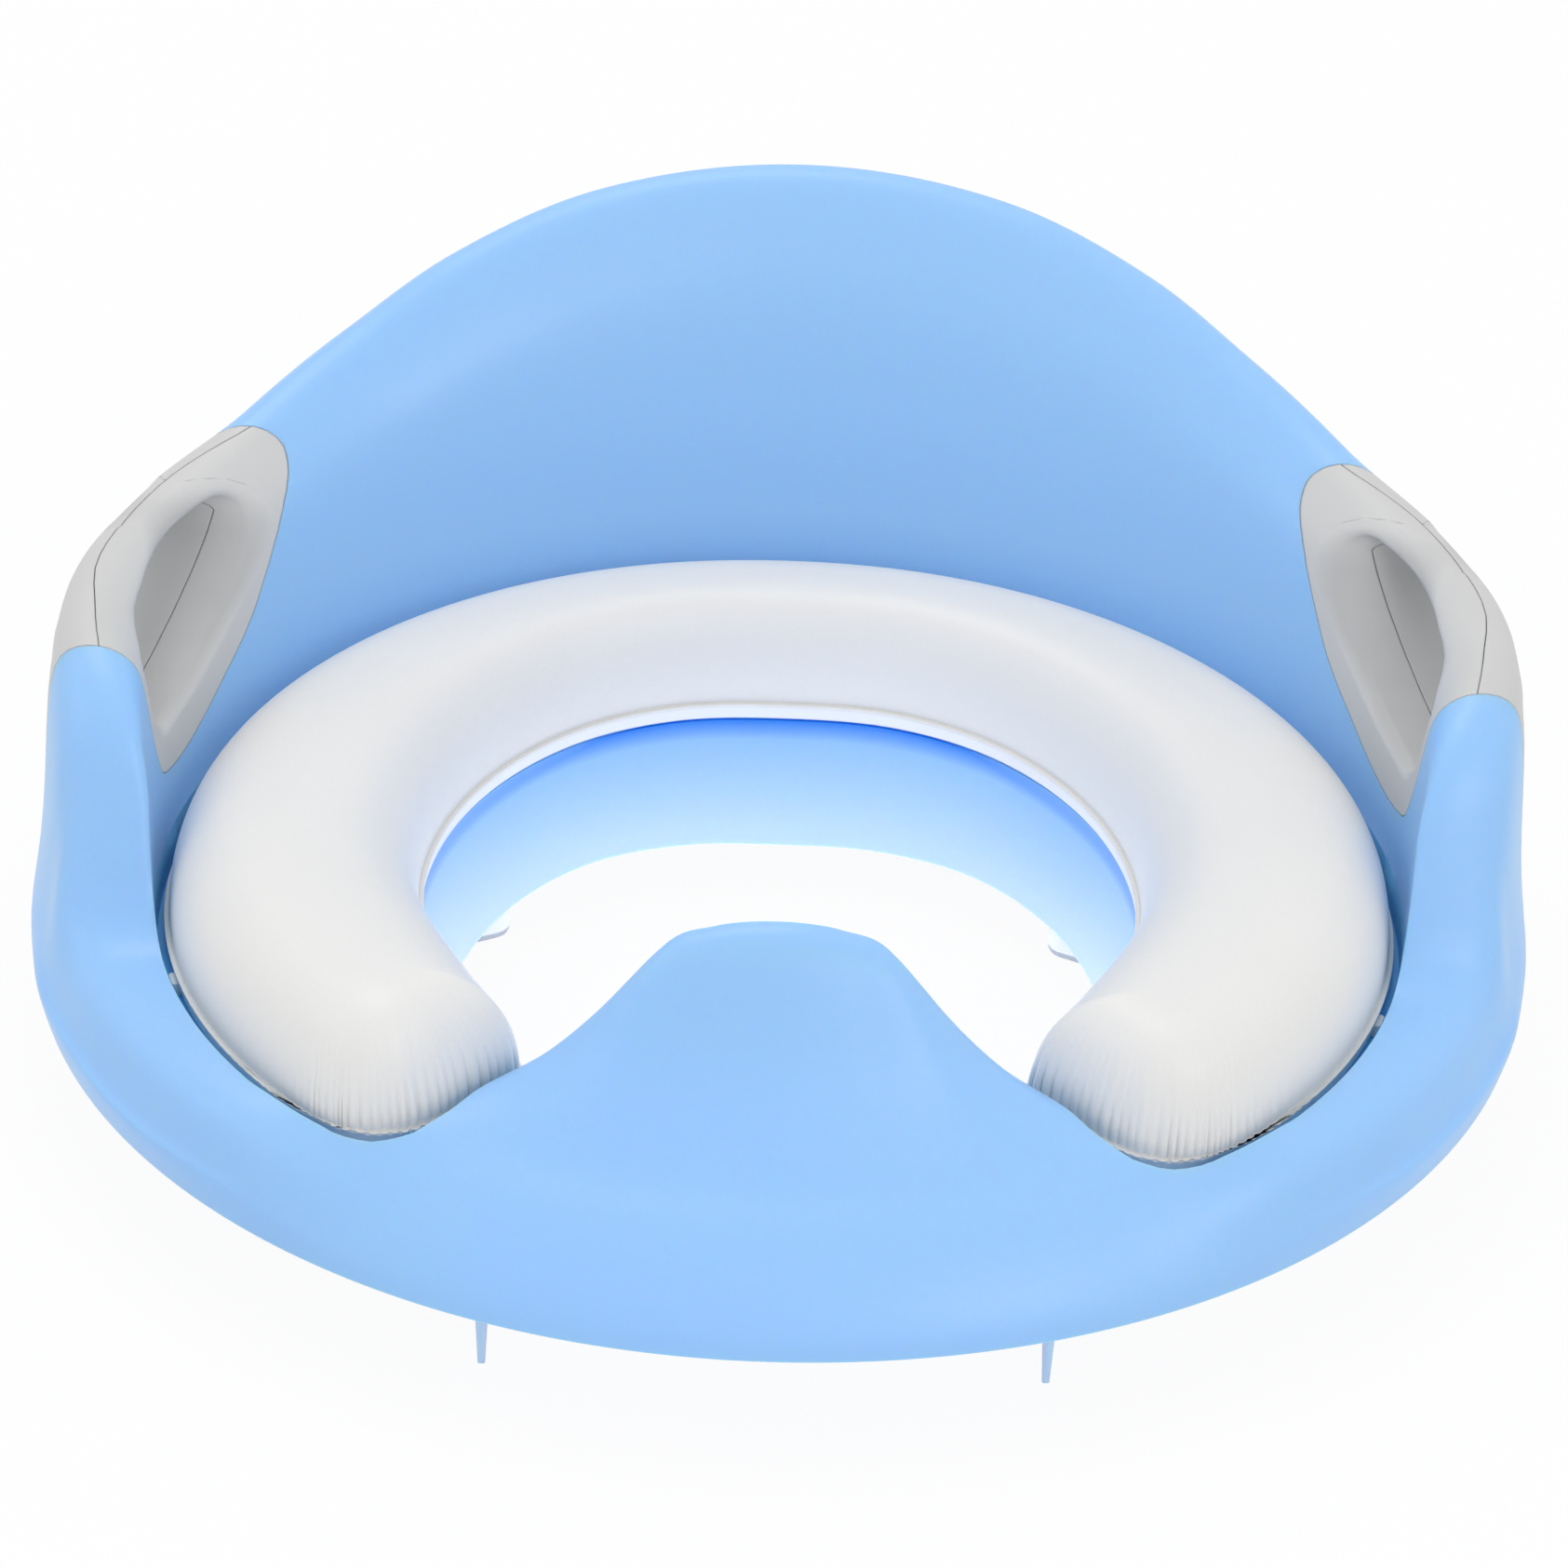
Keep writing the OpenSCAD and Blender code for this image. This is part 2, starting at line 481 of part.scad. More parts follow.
seat_shell();
handle_half(-1, true);  // handle_inner_left
handle_half(-1, false);  // handle_outer_left
handle_half(1, true);  // handle_inner_right
handle_half(1, false);  // handle_outer_right
handle_screws(-1);  // handle_screws_left
handle_screws(1);  // handle_screws_right
cushion();
cushion_board();
pad(pad_front, -1);  // pad_front_left
pad(pad_front, 1);  // pad_front_right
pad(pad_rear, -1);  // pad_rear_left
pad(pad_rear, 1);  // pad_rear_right
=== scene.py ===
import math
import bpy
import bmesh
from mathutils import Matrix, Vector
from mathutils.bvhtree import BVHTree
from mathutils.kdtree import KDTree


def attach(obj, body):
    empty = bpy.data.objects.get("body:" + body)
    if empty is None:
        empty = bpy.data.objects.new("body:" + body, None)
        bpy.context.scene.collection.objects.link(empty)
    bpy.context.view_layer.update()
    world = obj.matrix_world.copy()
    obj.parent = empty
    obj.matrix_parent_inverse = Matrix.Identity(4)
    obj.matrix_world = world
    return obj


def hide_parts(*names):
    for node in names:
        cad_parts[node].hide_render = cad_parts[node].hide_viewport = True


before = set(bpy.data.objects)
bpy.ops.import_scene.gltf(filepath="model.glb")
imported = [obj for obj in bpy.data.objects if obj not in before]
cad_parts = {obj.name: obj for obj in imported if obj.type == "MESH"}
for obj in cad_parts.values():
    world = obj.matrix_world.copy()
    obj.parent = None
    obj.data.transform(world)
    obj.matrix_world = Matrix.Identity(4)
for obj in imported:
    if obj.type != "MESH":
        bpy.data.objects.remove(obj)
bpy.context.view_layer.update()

mm = 0.001
print("frame loaded")

# Camera: looks down at the seat from the front, turned a little about its own axis
photo = {"pixels": 1685, "focalPixels": 4690, "sensor": 36, "elevation": 36, "distance": 1170, "roll": 2,
         "target": (0, 10, 70)}


def makeCamera():
    tilt = math.radians(photo["elevation"])
    target = Vector(photo["target"])
    place = target + photo["distance"] * Vector((0, -math.cos(tilt), math.sin(tilt)))
    data = bpy.data.cameras.new("photoCamera")
    data.sensor_width = photo["sensor"]
    data.lens = photo["focalPixels"] / photo["pixels"] * photo["sensor"]
    camera = bpy.data.objects.new("photoCamera", data)
    look = (target - place).to_track_quat("-Z", "Y").to_matrix().to_4x4()
    camera.matrix_world = Matrix.Translation(place * mm) @ look @ Matrix.Rotation(
        math.radians(photo["roll"]), 4, "Z")
    bpy.context.scene.collection.objects.link(camera)
    bpy.context.scene.camera = camera


makeCamera()
print("camera placed")


# Small sums shared by the shapes
def mix(a, b, u):
    return a * (1 - u) + b * u


def ease(a, b, x):
    u = min(1, max(0, (x - a) / (b - a)))
    return u * u * (3 - 2 * u)


def direction(a):
    return Vector((math.cos(math.radians(a)), math.sin(math.radians(a))))


def along(table, x):  # smooth curve through the table's points, level at both ends
    if x <= table[0][0]:
        return table[0][1]
    if x >= table[-1][0]:
        return table[-1][1]
    i = max(k for k in range(len(table) - 1) if table[k][0] < x)

    def slope(k):
        if k == 0 or k == len(table) - 1:
            return 0
        return (table[k + 1][1] - table[k - 1][1]) / (table[k + 1][0] - table[k - 1][0])

    w = table[i + 1][0] - table[i][0]
    u = (x - table[i][0]) / w
    return ((2 * u**3 - 3 * u * u + 1) * table[i][1] + (u**3 - 2 * u * u + u) * w * slope(i)
            + (3 * u * u - 2 * u**3) * table[i + 1][1] + (u**3 - u * u) * w * slope(i + 1))


def bSpline(points, count):
    points = [Vector(p) for p in points]
    q = [points[0]] * 2 + points + [points[-1]] * 2
    spans = len(q) - 3
    result = []
    for step in range(count + 1):
        x = step / count * spans
        i = min(spans - 1, int(x))
        v = x - i
        result.append(((1 - v)**3 * q[i] + (3 * v**3 - 6 * v * v + 4) * q[i + 1]
                       + (-3 * v**3 + 3 * v * v + 3 * v + 1) * q[i + 2] + v**3 * q[i + 3]) / 6)
    return result


def sideOf(b):  # angles past 90 mirror the right half
    return (180 - b, -1) if b > 90 else (b, 1)


# Meshes from points in millimetres
def makeObject(name, points, faces):
    mesh = bpy.data.meshes.new(name)
    mesh.from_pydata([Vector(p) * mm for p in points], [], faces)
    piece = bpy.data.objects.new(name, mesh)
    bpy.context.scene.collection.objects.link(piece)
    tidyMesh(piece, 0)
    return piece


def tidyMesh(piece, weld):
    work = bmesh.new()
    work.from_mesh(piece.data)
    if weld:
        bmesh.ops.remove_doubles(work, verts=work.verts, dist=weld * mm)
    bmesh.ops.recalc_face_normals(work, faces=work.faces)
    work.to_mesh(piece.data)
    work.free()


def skin(name, rows):  # closed rows joined in a ring
    n, m = len(rows), len(rows[0])
    faces = [(i * m + j, i * m + (j + 1) % m, (i + 1) % n * m + (j + 1) % m, (i + 1) % n * m + j)
             for i in range(n) for j in range(m)]
    return makeObject(name, [p for row in rows for p in row], faces)


def loft(name, rings):  # closed rings joined in a line, with a lid on each end
    n, m = len(rings), len(rings[0])
    faces = [(i * m + j, i * m + (j + 1) % m, (i + 1) * m + (j + 1) % m, (i + 1) * m + j)
             for i in range(n - 1) for j in range(m)]
    faces += [tuple(range(m)), tuple(range((n - 1) * m, n * m))]
    return makeObject(name, [p for ring in rings for p in ring], faces)


def prismUp(name, outline, low, high):
    return loft(name, [[(x, y, z) for x, y in outline] for z in (low, high)])


def prismAcross(name, outline, side, near, far):  # outline in the side view, pushed through an arm
    return loft(name, [[(side * x, y, z) for y, z in outline] for x in (near, far)])


def applyModifiers(piece):
    finished = bpy.data.meshes.new_from_object(piece.evaluated_get(bpy.context.evaluated_depsgraph_get()))
    piece.modifiers.clear()
    piece.data = finished


def combine(base, other, operation):
    tool = base.modifiers.new("combine", "BOOLEAN")
    tool.operation = operation
    tool.solver = "MANIFOLD"
    tool.object = other
    applyModifiers(base)
    bpy.data.objects.remove(other)
    return base


def copyOf(piece, name):
    twin = bpy.data.objects.new(name, piece.data.copy())
    bpy.context.scene.collection.objects.link(twin)
    return twin


def finishSurface(piece, material, angle=34):
    piece.data.materials.clear()
    piece.data.materials.append(material)
    for face in piece.data.polygons:
        face.material_index = 0
        face.use_smooth = True
    piece.data.set_sharp_from_angle(angle=math.radians(angle))


def place(piece, node, slot):
    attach(piece, "root")
    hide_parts(node)


# Outlines with every corner rounded: tight where it turns sharply, wide where it turns a little
def rounded(outline, tight, wide, grow=0):
    n = len(outline)
    points = [Vector(p) for p in outline]
    area = sum(points[i].x * points[(i + 1) % n].y - points[(i + 1) % n].x * points[i].y for i in range(n))
    turn = 1 if area > 0 else -1
    grown = []
    for i in range(n):
        before = (points[i] - points[i - 1]).normalized()
        after = (points[(i + 1) % n] - points[i]).normalized()
        out = (Vector((before.y, -before.x)) + Vector((after.y, -after.x))) * turn
        grown.append(points[i] + out * grow * 2 / out.length_squared)
    result = []
    for i in range(n):
        p, a, b = grown[i], grown[i - 1], grown[(i + 1) % n]
        before, after = (p - a).normalized(), (b - p).normalized()
        bend = math.acos(max(-1, min(1, before.dot(after))))
        if bend < 0.01:
            result.append(p)
            continue
        radius = tight if bend > 0.6 else wide
        reach = min(radius * math.tan(bend / 2), 0.49 * min((p - a).length, (b - p).length))
        start, end = p - before * reach, p + after * reach
        steps = max(3, int(math.degrees(bend) / 7))
        pull = mix(p, (start + end) / 2, 0.12)
        for k in range(steps + 1):
            u = k / steps
            result.append((1 - u)**2 * start + 2 * u * (1 - u) * pull + u * u * end)
    return result


def resampled(outline, count):
    loop = [Vector(p) for p in outline] + [Vector(outline[0])]
    lengths = [0]
    for a, b in zip(loop, loop[1:]):
        lengths.append(lengths[-1] + (b - a).length)
    result, i = [], 0
    for k in range(count):
        goal = lengths[-1] * k / count
        while lengths[i + 1] < goal:
            i += 1
        u = (goal - lengths[i]) / max(1e-9, lengths[i + 1] - lengths[i])
        result.append(loop[i].lerp(loop[i + 1], u))
    return result


def treeOf(points):
    tree = KDTree(len(points))
    for i, p in enumerate(points):
        tree.insert(p, i)
    tree.balance()
    return tree


def outwardOf(loop):  # unit normals of a closed outline, pointing out of it
    n = len(loop)
    area = sum(loop[i].x * loop[(i + 1) % n].y - loop[(i + 1) % n].x * loop[i].y for i in range(n))
    turn = 1 if area > 0 else -1
    normals = []
    for i in range(n):
        d = (loop[(i + 1) % n] - loop[i - 1]).normalized()
        normals.append(Vector((d.y, -d.x)) * turn)
    return normals


# Seat shell: one drafted moulding, lofted from vertical sections round the opening
shell = {"width": 400, "depth": 342, "rimLift": 30, "deckHeight": 29, "backHeight": 119, "armHeight": 63,
         "wall": 2.6, "crestWidth": 22, "openRadius": 96.5, "openShift": 24, "guardHeight": 46,
         "skirtWall": 2.2, "skirtRound": 0.8, "skirtFrom": -54.5, "recessDepth": 8.5, "gripOut": 5,
         "gripUp": 2, "armSlim": 2.2, "footBulge": 3.2,
         "openShape": [(-90, 0.757), (-76, 0.78), (-62, 0.862), (-55, 0.928), (-50, 1.01), (-45, 0.995),
                       (-34, 0.966), (-20, 0.969), (-8, 0.99), (6, 1), (50, 1), (70, 0.982), (90, 0.958)],
         "armRise": [(-22, 0), (-17, 0.09), (-12.5, 0.4), (-8, 0.72), (-3, 0.88), (4, 0.96), (14, 1)],
         "backRise": [(16, 0), (30, 0.1), (47, 0.4), (58, 0.66), (72, 0.9), (90, 1)],
         "gripSwell": [(-8, 0), (3, 0.7), (12, 1), (24, 0.8), (36, 0)],
         "guardRise": [(-90, 1.03), (-84, 1.02), (-78, 0.985), (-70, 0.88), (-60, 0.4), (-52, 0.06),
                       (-46, 0)],
         "skirtShape": [(-60, 1.451), (-55, 1.275), (-46, 1.092), (-30, 0.969), (-10, 0.927), (5, 0.922),
                        (50, 0.907), (70, 0.87), (90, 0.839)],
         "skirtLow": [(-60, -27), (-45, -25), (-20, -20), (0, -17), (20, -16), (90, -16)]}
rimZ = shell["rimLift"]
deckZ = rimZ + shell["deckHeight"]
floorZ = deckZ - shell["recessDepth"]
openShift = Vector((0, shell["openShift"]))

cushion = {"side": 162, "back": 132, "front": 133.5, "height": 31, "gap": 1.3, "frontGap": 3.2, "reach": 3,
           "boardHeight": 4.8, "boardWall": 2.2, "pegDiameter": 8, "tabAngle": -14, "tabLength": 5,
           "tabReach": 0.7, "boardInset": 1.2, "boardStep": 1.3,
           "boardTip": [(0, -50), (0.1, -51), (0.3, -50.2), (0.52, -49.6), (0.7, -48.6), (0.8, -47.6),
                        (0.92, -45.2), (0.98, -42.2), (1, -38.5)],
           "coverTip": [(0, -49.6), (0.08, -50.5), (0.2, -49.9), (0.41, -49.3), (0.55, -49), (0.66, -48.4),
                        (0.75, -47.8), (0.82, -46.7), (0.88, -45.5), (0.92, -43.9), (0.95, -42.2),
                        (0.965, -40), (0.98, -37.6), (1, -33)]}
cushionZ = floorZ + cushion["boardHeight"] + 0.2


def rimPoint(a):
    d = direction(a)
    return Vector((shell["width"] / 2 * d.x, shell["depth"] / 2 * d.y))


def openPoint(a):
    return shell["openRadius"] * along(shell["openShape"], a) * direction(a) - openShift


def footAt(a):  # where the section meets the outer edge of the cushion's recess
    wide = cushion["side"] + cushion["gap"]
    deep = cushion["back"] + cushion["gap"] if a > 0 else cushion["front"] + cushion["frontGap"]
    o = openPoint(a) + openShift
    d = rimPoint(a) - openPoint(a)
    p, q = Vector((o.x / wide, o.y / deep)), Vector((d.x / wide, d.y / deep))
    k = (-p.dot(q) + math.sqrt(p.dot(q)**2 - q.dot(q) * (p.dot(p) - 1))) / q.dot(q)
    return k * d.length


def crestHeight(a):
    return (shell["armHeight"] * along(shell["armRise"], a)
            + (shell["backHeight"] - shell["armHeight"]) * along(shell["backRise"], a))


def section(a, t):  # control points from the opening out to the rim, inset by t for the underside
    span = (rimPoint(a) - openPoint(a)).length
    foot = footAt(a)
    h = crestHeight(a) if t == 0 else min(crestHeight(a - 0.9), crestHeight(a + 0.9))
    guard = shell["guardHeight"] * along(shell["guardRise"], a)
    s, k = 1 - ease(-62, -42, a), ease(0, 36, h)  # share of the splash guard, share of a full wall
    swell = along(shell["gripSwell"], a)
    top, out, crest = deckZ + h + shell["gripUp"] * swell, shell["gripOut"] * swell, shell["crestWidth"]
    crisp = 1 - ease(-6, 8, a)
    bulge = shell["footBulge"] * ease(-58, -34, a) * crisp * (t == 0)
    edge = [mix(36.5, crest + 11.5 + 2 * crisp, k), mix(17, crest / 2 + 12 + 6 * crisp, k) - 0.4 * out,
            mix(7.5, 13.5, k) - out, mix(3.5, 9, k) - out, mix(1.5, 5.5, k) - 0.5 * out, mix(0.5, 1.5, k)]
    slim = shell["armSlim"] * ease(-14, -6, a) * (1 - ease(4, 14, a))
    edge[1] -= 0.7 * slim
    near = mix(2, 0.4, crisp)
    c = max(span - edge[0] + slim, foot + near)
    drop = (1 - k) * t
    wall = [(0.35 * foot, deckZ - t), (foot - 12, deckZ - t), (foot - near + 0.5 * t, deckZ - t),
            (foot + 0.75 * near + t, deckZ + 0.07 * h - 0.6 * t),
            (mix(foot + near, c, 0.35) + t, deckZ + 0.4 * h - drop),
            (mix(foot + near, c, 0.72) + t, deckZ + 0.78 * h - drop),
            (c + t, top - (0.13 - 0.07 * crisp) * h - drop), (span - edge[1] + 0.5 * t, top + 0.022 * h - t),
            (span - edge[2] - 0.6 * t, top + 0.022 * h - 2 * (1 - k) - t),
            (span - edge[3] - t, top - mix(9, 12, k)),
            (span - edge[4] + 0.3 * bulge - t, mix(rimZ, top, 0.5 - 0.045 * bulge)),
            (span - edge[5] + bulge - t, rimZ + 12)]
    rise = [(0.11, 0.92, 0), (0.19, 0.73, 0), (0.28, 0.5, 0), (0.38, 0.3, 0), (0.48, 0.14, 0), (0.58, 0, -1),
            (0.68, 0, -4), (0.77, 0, -8)]
    sweep = [(f * span, deckZ + g * guard + low - 1.2 * t) for f, g, low in rise]
    sweep += [(0.85 * span - 0.4 * t, deckZ - 13 - t), (0.92 * span - 0.7 * t, deckZ - 18 - 0.6 * t),
              (0.97 * span - t, rimZ + 6), (0.99 * span - t, rimZ + 3)]
    return ([(t, deckZ + guard - t), (t + 2 + 1.5 * s, deckZ + guard - t)]
            + [Vector(w).lerp(Vector(q), s) for w, q in zip(wall, sweep)] + [(span - t, rimZ)])


def shellRow(b, t, steps):
    a, side = sideOf(b)
    o, rim = openPoint(a), rimPoint(a)
    u = (rim - o).normalized()
    line = bSpline(section(a, t), steps)
    if t:
        start = mix(-8, t, 1 - ease(-54, -48, a))
        line = [(start, rimZ - 2), (start, floorZ - t - 1.3)] + line + [((rim - o).length - t, rimZ - 2)]
    else:
        line = [(0, rimZ)] + line
    return [(side * (o.x + u.x * p[0]), o.y + u.y * p[0], p[1]) for p in line]


# Cushion plan: angles from its right end round the back to its left end, v from its inner to its outer edge
def cushionOut(a):
    d = direction(a)
    return 1 / Vector((d.x / cushion["side"], d.y / cushion["back" if a > 0 else "front"])).length


def cushionIn(a):
    return (openPoint(a) + openShift).length - cushion["reach"]


def cushionPoint(a, v):
    side = 1
    if a > 90:
        a, side = 180 - a, -1
    p = mix(cushionIn(a), cushionOut(a), v) * direction(a)
    return Vector((side * p.x, p.y)) - openShift


def tipAt(v, inset, table):
    return along(cushion[table], v) + math.degrees(inset / mix(cushionIn(-48), cushionOut(-48), v))


def cushionEdge(table, tipCount, sideCount, inset=0):  # angle and v of points round the outline
    def inward(a, v):
        margin = inset / (cushionOut(a) - cushionIn(a))
        return mix(margin, 1 - margin, v)

    steps = [inward(-45, (1 - math.cos(math.pi * k / tipCount)) / 2) for k in range(tipCount + 1)]
    right = [(tipAt(v, inset, table), v) for v in steps]
    start, end = right[-1][0], right[0][0]
    spread = [mix(k / sideCount, (1 - math.cos(math.pi * k / sideCount)) / 2, 0.6)
              for k in range(1, sideCount)]
    outer = [mix(start, 180 - start, u) for u in spread]
    inner = [mix(180 - end, end, u) for u in spread]
    left = [(180 - a, v) for a, v in reversed(right)]
    return (right + [(a, inward(min(a, 180 - a), 1)) for a in outer] + left
            + [(a, inward(min(a, 180 - a), 0)) for a in inner])


def cushionPlan(grow, table="boardTip"):
    loop = resampled([cushionPoint(a, v) for a, v in cushionEdge(table, 40, 120)], 420)
    return [p + n * grow for p, n in zip(loop, outwardOf(loop))]


def recessPlan(extra):  # the gap round the cushion is wider in front
    loop = cushionPlan(0, "coverTip")
    return [p + n * (mix(cushion["gap"], cushion["frontGap"], max(0, -n.y)) + extra)
            for p, n in zip(loop, outwardOf(loop))]


# Handles: two halves a side, clamped over a cut-out in the arm
grip = {"gap": 0.2, "partLine": 0.24, "from": 120, "to": 220, "holeRound": 3.7, "ceilingRound": 4.8,
        "holePoints": 160,  # outline and hole: from the middle backwards, from the deck upwards
        "outline": [(-6, 90), (-7, 30), (-5, 17.5), (4, 14), (14, 14.2), (27, 18.3), (41, 25.5), (50, 32),
                    (60, 43.5), (70, 56), (79, 65), (83, 70.5), (85, 90)],
        "hole": [(5, 26.6), (20, 28.5), (32, 32.3), (43, 38), (53, 45.5), (61.5, 53.8), (66, 63), (46, 61.5),
                 (28, 59.8), (12, 56.2), (0.5, 47.5), (-0.5, 32)],
        "partingTop": [(-6, 23), (0, 21.2), (4, 19.3), (9, 15.4), (15, 14.3), (22, 14.4), (26, 15.7),
                       (30, 18.3), (34, 21), (40, 23)],  # in from the rim, along the grip's top
        "partingLow": [(-6, 23), (0, 22.6), (5, 23), (10, 24.3), (16, 25.4), (22, 25.7), (28, 24.8),
                       (34, 23.4), (40, 23)],
        "partingLevels": [(-25.2, 0), (57.6, 0), (58.6, 0.15), (59.7, 0.5), (60.8, 0.85), (61.8, 1),
                          (151.2, 1)],
        "screwAt": [(68.5, 62, 31.5, 40), (-0.8, 52, 12.6, 2.2)], "screwBore": 4.1, "headBore": 6.6}


def gripOutline(grow):
    return [(y, deckZ + h) for y, h in rounded(grip["outline"], 5, 60, grow)]


def partingCore(grow):
    rings = []
    for h, share in grip["partingLevels"]:
        ring = []
        for i in range(180):
            a, side = sideOf(i * 2 - 89)
            o, d = openPoint(a), rimPoint(a) - openPoint(a)
            inset = mix(along(grip["partingLow"], a), along(grip["partingTop"], a), share) - grow
            p = o + d * (1 - inset / d.length)
            ring.append((side * p.x, p.y, deckZ + h))
        rings.append(ring)
    return loft("core", rings)


def skirtRow(b):
    a, side = sideOf(b)
    r = shell["openRadius"] * along(shell["skirtShape"], a)
    low = rimZ + along(shell["skirtLow"], a)
    edge = mix(r, (openPoint(a) + openShift).length - 0.6, ease(-45, -15, a))
    top = mix(deckZ, floorZ - 0.6, ease(-54, -47, a))
    t, soft = shell["skirtWall"], shell["skirtRound"]
    line = [(r + 0.05 * soft, low + 0.6 * soft), (r + 0.3 * soft, low + 0.25 * soft), (r + soft, low),
            (r + t - soft, low), (r + t - 0.25 * soft, low + 0.25 * soft), (r + t, low + soft),
            (edge + t, top), (edge, top), (r, low + 1.4 * soft)]
    d = direction(a)
    return [(side * p * d.x, p * d.y - openShift.y, z) for p, z in line]


pads = {"front": (99.5, -100, 12), "rear": (97, 30.5, -24), "length": 40, "width": 22, "height": 18,
        "socket": 7, "round": 5, "stud": 0.5, "postInset": 8.6, "postHollow": 12, "socketInset": 8,
        "edge": [(0, 1.5), (0.2, 0.8), (0.7, 0.25), (1.5, 0)]}
ribs = {"angles": [-37, 8, 29, 66, 90], "thickness": 1.8}
fin = {"thickness": 1.8, "across": 71, "front": -146, "back": -121, "lean": 0.9, "low": 1.6}
pegs = {"at": [(-14, 0.52), (48, 0.5)], "drop": 8}


def atPad(points, spot, side):
    turn = Matrix.Rotation(math.radians(spot[2]), 2)
    result = []
    for x, y, z in points:
        p = turn @ Vector((x, y)) + Vector(spot[:2])
        result.append((side * p.x, p.y, z))
    return result


def padOutline(length, width, radius):
    corners = [(length / 2, width / 2), (-length / 2, width / 2), (-length / 2, -width / 2),
               (length / 2, -width / 2)]
    return rounded(corners, radius, radius)


def padPost(spot, side):
    inset, hollowInset = pads["postInset"], pads["postHollow"]
    outer = padOutline(pads["length"] - inset, pads["width"] - inset, 3)
    inner = padOutline(pads["length"] - hollowInset, pads["width"] - hollowInset, 1.5)
    foot = pads["height"] - pads["socket"]
    post = loft("post", [atPad([(x, y, z) for x, y in outer], spot, side) for z in (foot, deckZ)])
    hollow = loft("postHollow", [atPad([(x, y, z) for x, y in inner], spot, side)
                                 for z in (foot - 1, floorZ - shell["wall"] - 2)])
    return combine(post, hollow, "DIFFERENCE")


def ribPlate(a, side):
    t = ribs["thickness"] / 2
    turn = Matrix.Rotation(math.radians(a if side > 0 else 180 - a), 2)
    far = shell["openRadius"] + shell["width"] / 2
    plate = [turn @ Vector(p) - openShift for p in
             [(shell["openRadius"], -t), (far, -t), (far, t), (shell["openRadius"], t)]]
    return prismUp("rib", plate, rimZ + 7, deckZ - 1)


def frontFin(side):  # straight plate at each front end of the skirt
    def ring(x, z, trim):
        thin, y, far = fin["thickness"] / 2, fin["front"] + trim, x + fin["lean"]
        corners = [(x + thin, y), (far + thin, fin["back"]), (far - thin, fin["back"]), (x - thin, y)]
        return [(side * px, py, z) for px, py in rounded(corners, 0.4, 0.4)]

    x, lean, low = fin["across"], fin["lean"], fin["low"]
    return loft("fin", [ring(x - lean, low, 1), ring(x - lean + 0.05, low + 0.6, 0.2), ring(x, rimZ + 4, 0),
                        ring(x, deckZ, 0)])


def pegSpots():
    for a, v in pegs["at"]:
        p = cushionPoint(a, v)
        for side in (-1, 1):
            yield side * p.x, p.y


def disc(x, y, diameter, count=40):
    return [(x + diameter / 2 * direction(360 * k / count).x, y + diameter / 2 * direction(360 * k / count).y)
            for k in range(count)]


def screwBore(side, spot):  # the front one ends under a flush plug
    y, h, inset, depth = spot
    seat = shell["width"] / 2 - inset
    rings = [(seat - 16.5, grip["screwBore"]), (seat, grip["screwBore"]), (seat, grip["headBore"]),
             (seat + depth, grip["headBore"])]
    return loft("bore", [[(side * x, py, pz) for py, pz in disc(y, deckZ + h, d, 28)] for x, d in rings])


def holeCutter(side, envelopeTree):
    loop = resampled(rounded(grip["hole"], 4, 40), grip["holePoints"])
    loop = [Vector((y, deckZ + h)) for y, h in loop]
    outward = outwardOf(loop)

    def surfaceAt(p, fromX, step):
        hit = envelopeTree.ray_cast(Vector((fromX, p.x, p.y)) * mm, Vector((step, 0, 0)))
        return hit[0].x / mm if hit[0] else None

    def ringAt(fromX, step, turn):  # turn 0 lies on the face, 1 at the straight wall
        ring, last = [], None
        for p, n in zip(loop, outward):
            soft = mix(grip["holeRound"], grip["ceilingRound"], ease(0, 0.8, n.y))
            flare = soft * (1 - math.sin(turn * math.pi / 2))
            depth = soft * (1 - math.cos(turn * math.pi / 2)) - 0.02
            x = surfaceAt(p + n * flare, fromX, step)
            last = x if x is not None else last
            ring.append((last, p + n * flare, depth))
        return [(x + step * d, p.x, p.y) for x, p, d in ring]

    turns = [k / 10 for k in range(11)]
    inner = [ringAt(100, 1, t) for t in turns]
    outer = [ringAt(260, -1, t) for t in turns]
    lift = [[(x - 15, y, z) for x, y, z in inner[0]]]
    back = [[(x + 15, y, z) for x, y, z in outer[0]]]
    rings = lift + inner + outer[::-1] + back
    return loft("holeCutter", [[(side * x, y, z) for x, y, z in ring] for ring in rings])


envelope = skin("envelope", [shellRow(b * 1.25 - 90, 0, 60) for b in range(288)])
envelopeTree = BVHTree.FromObject(envelope, bpy.context.evaluated_depsgraph_get())


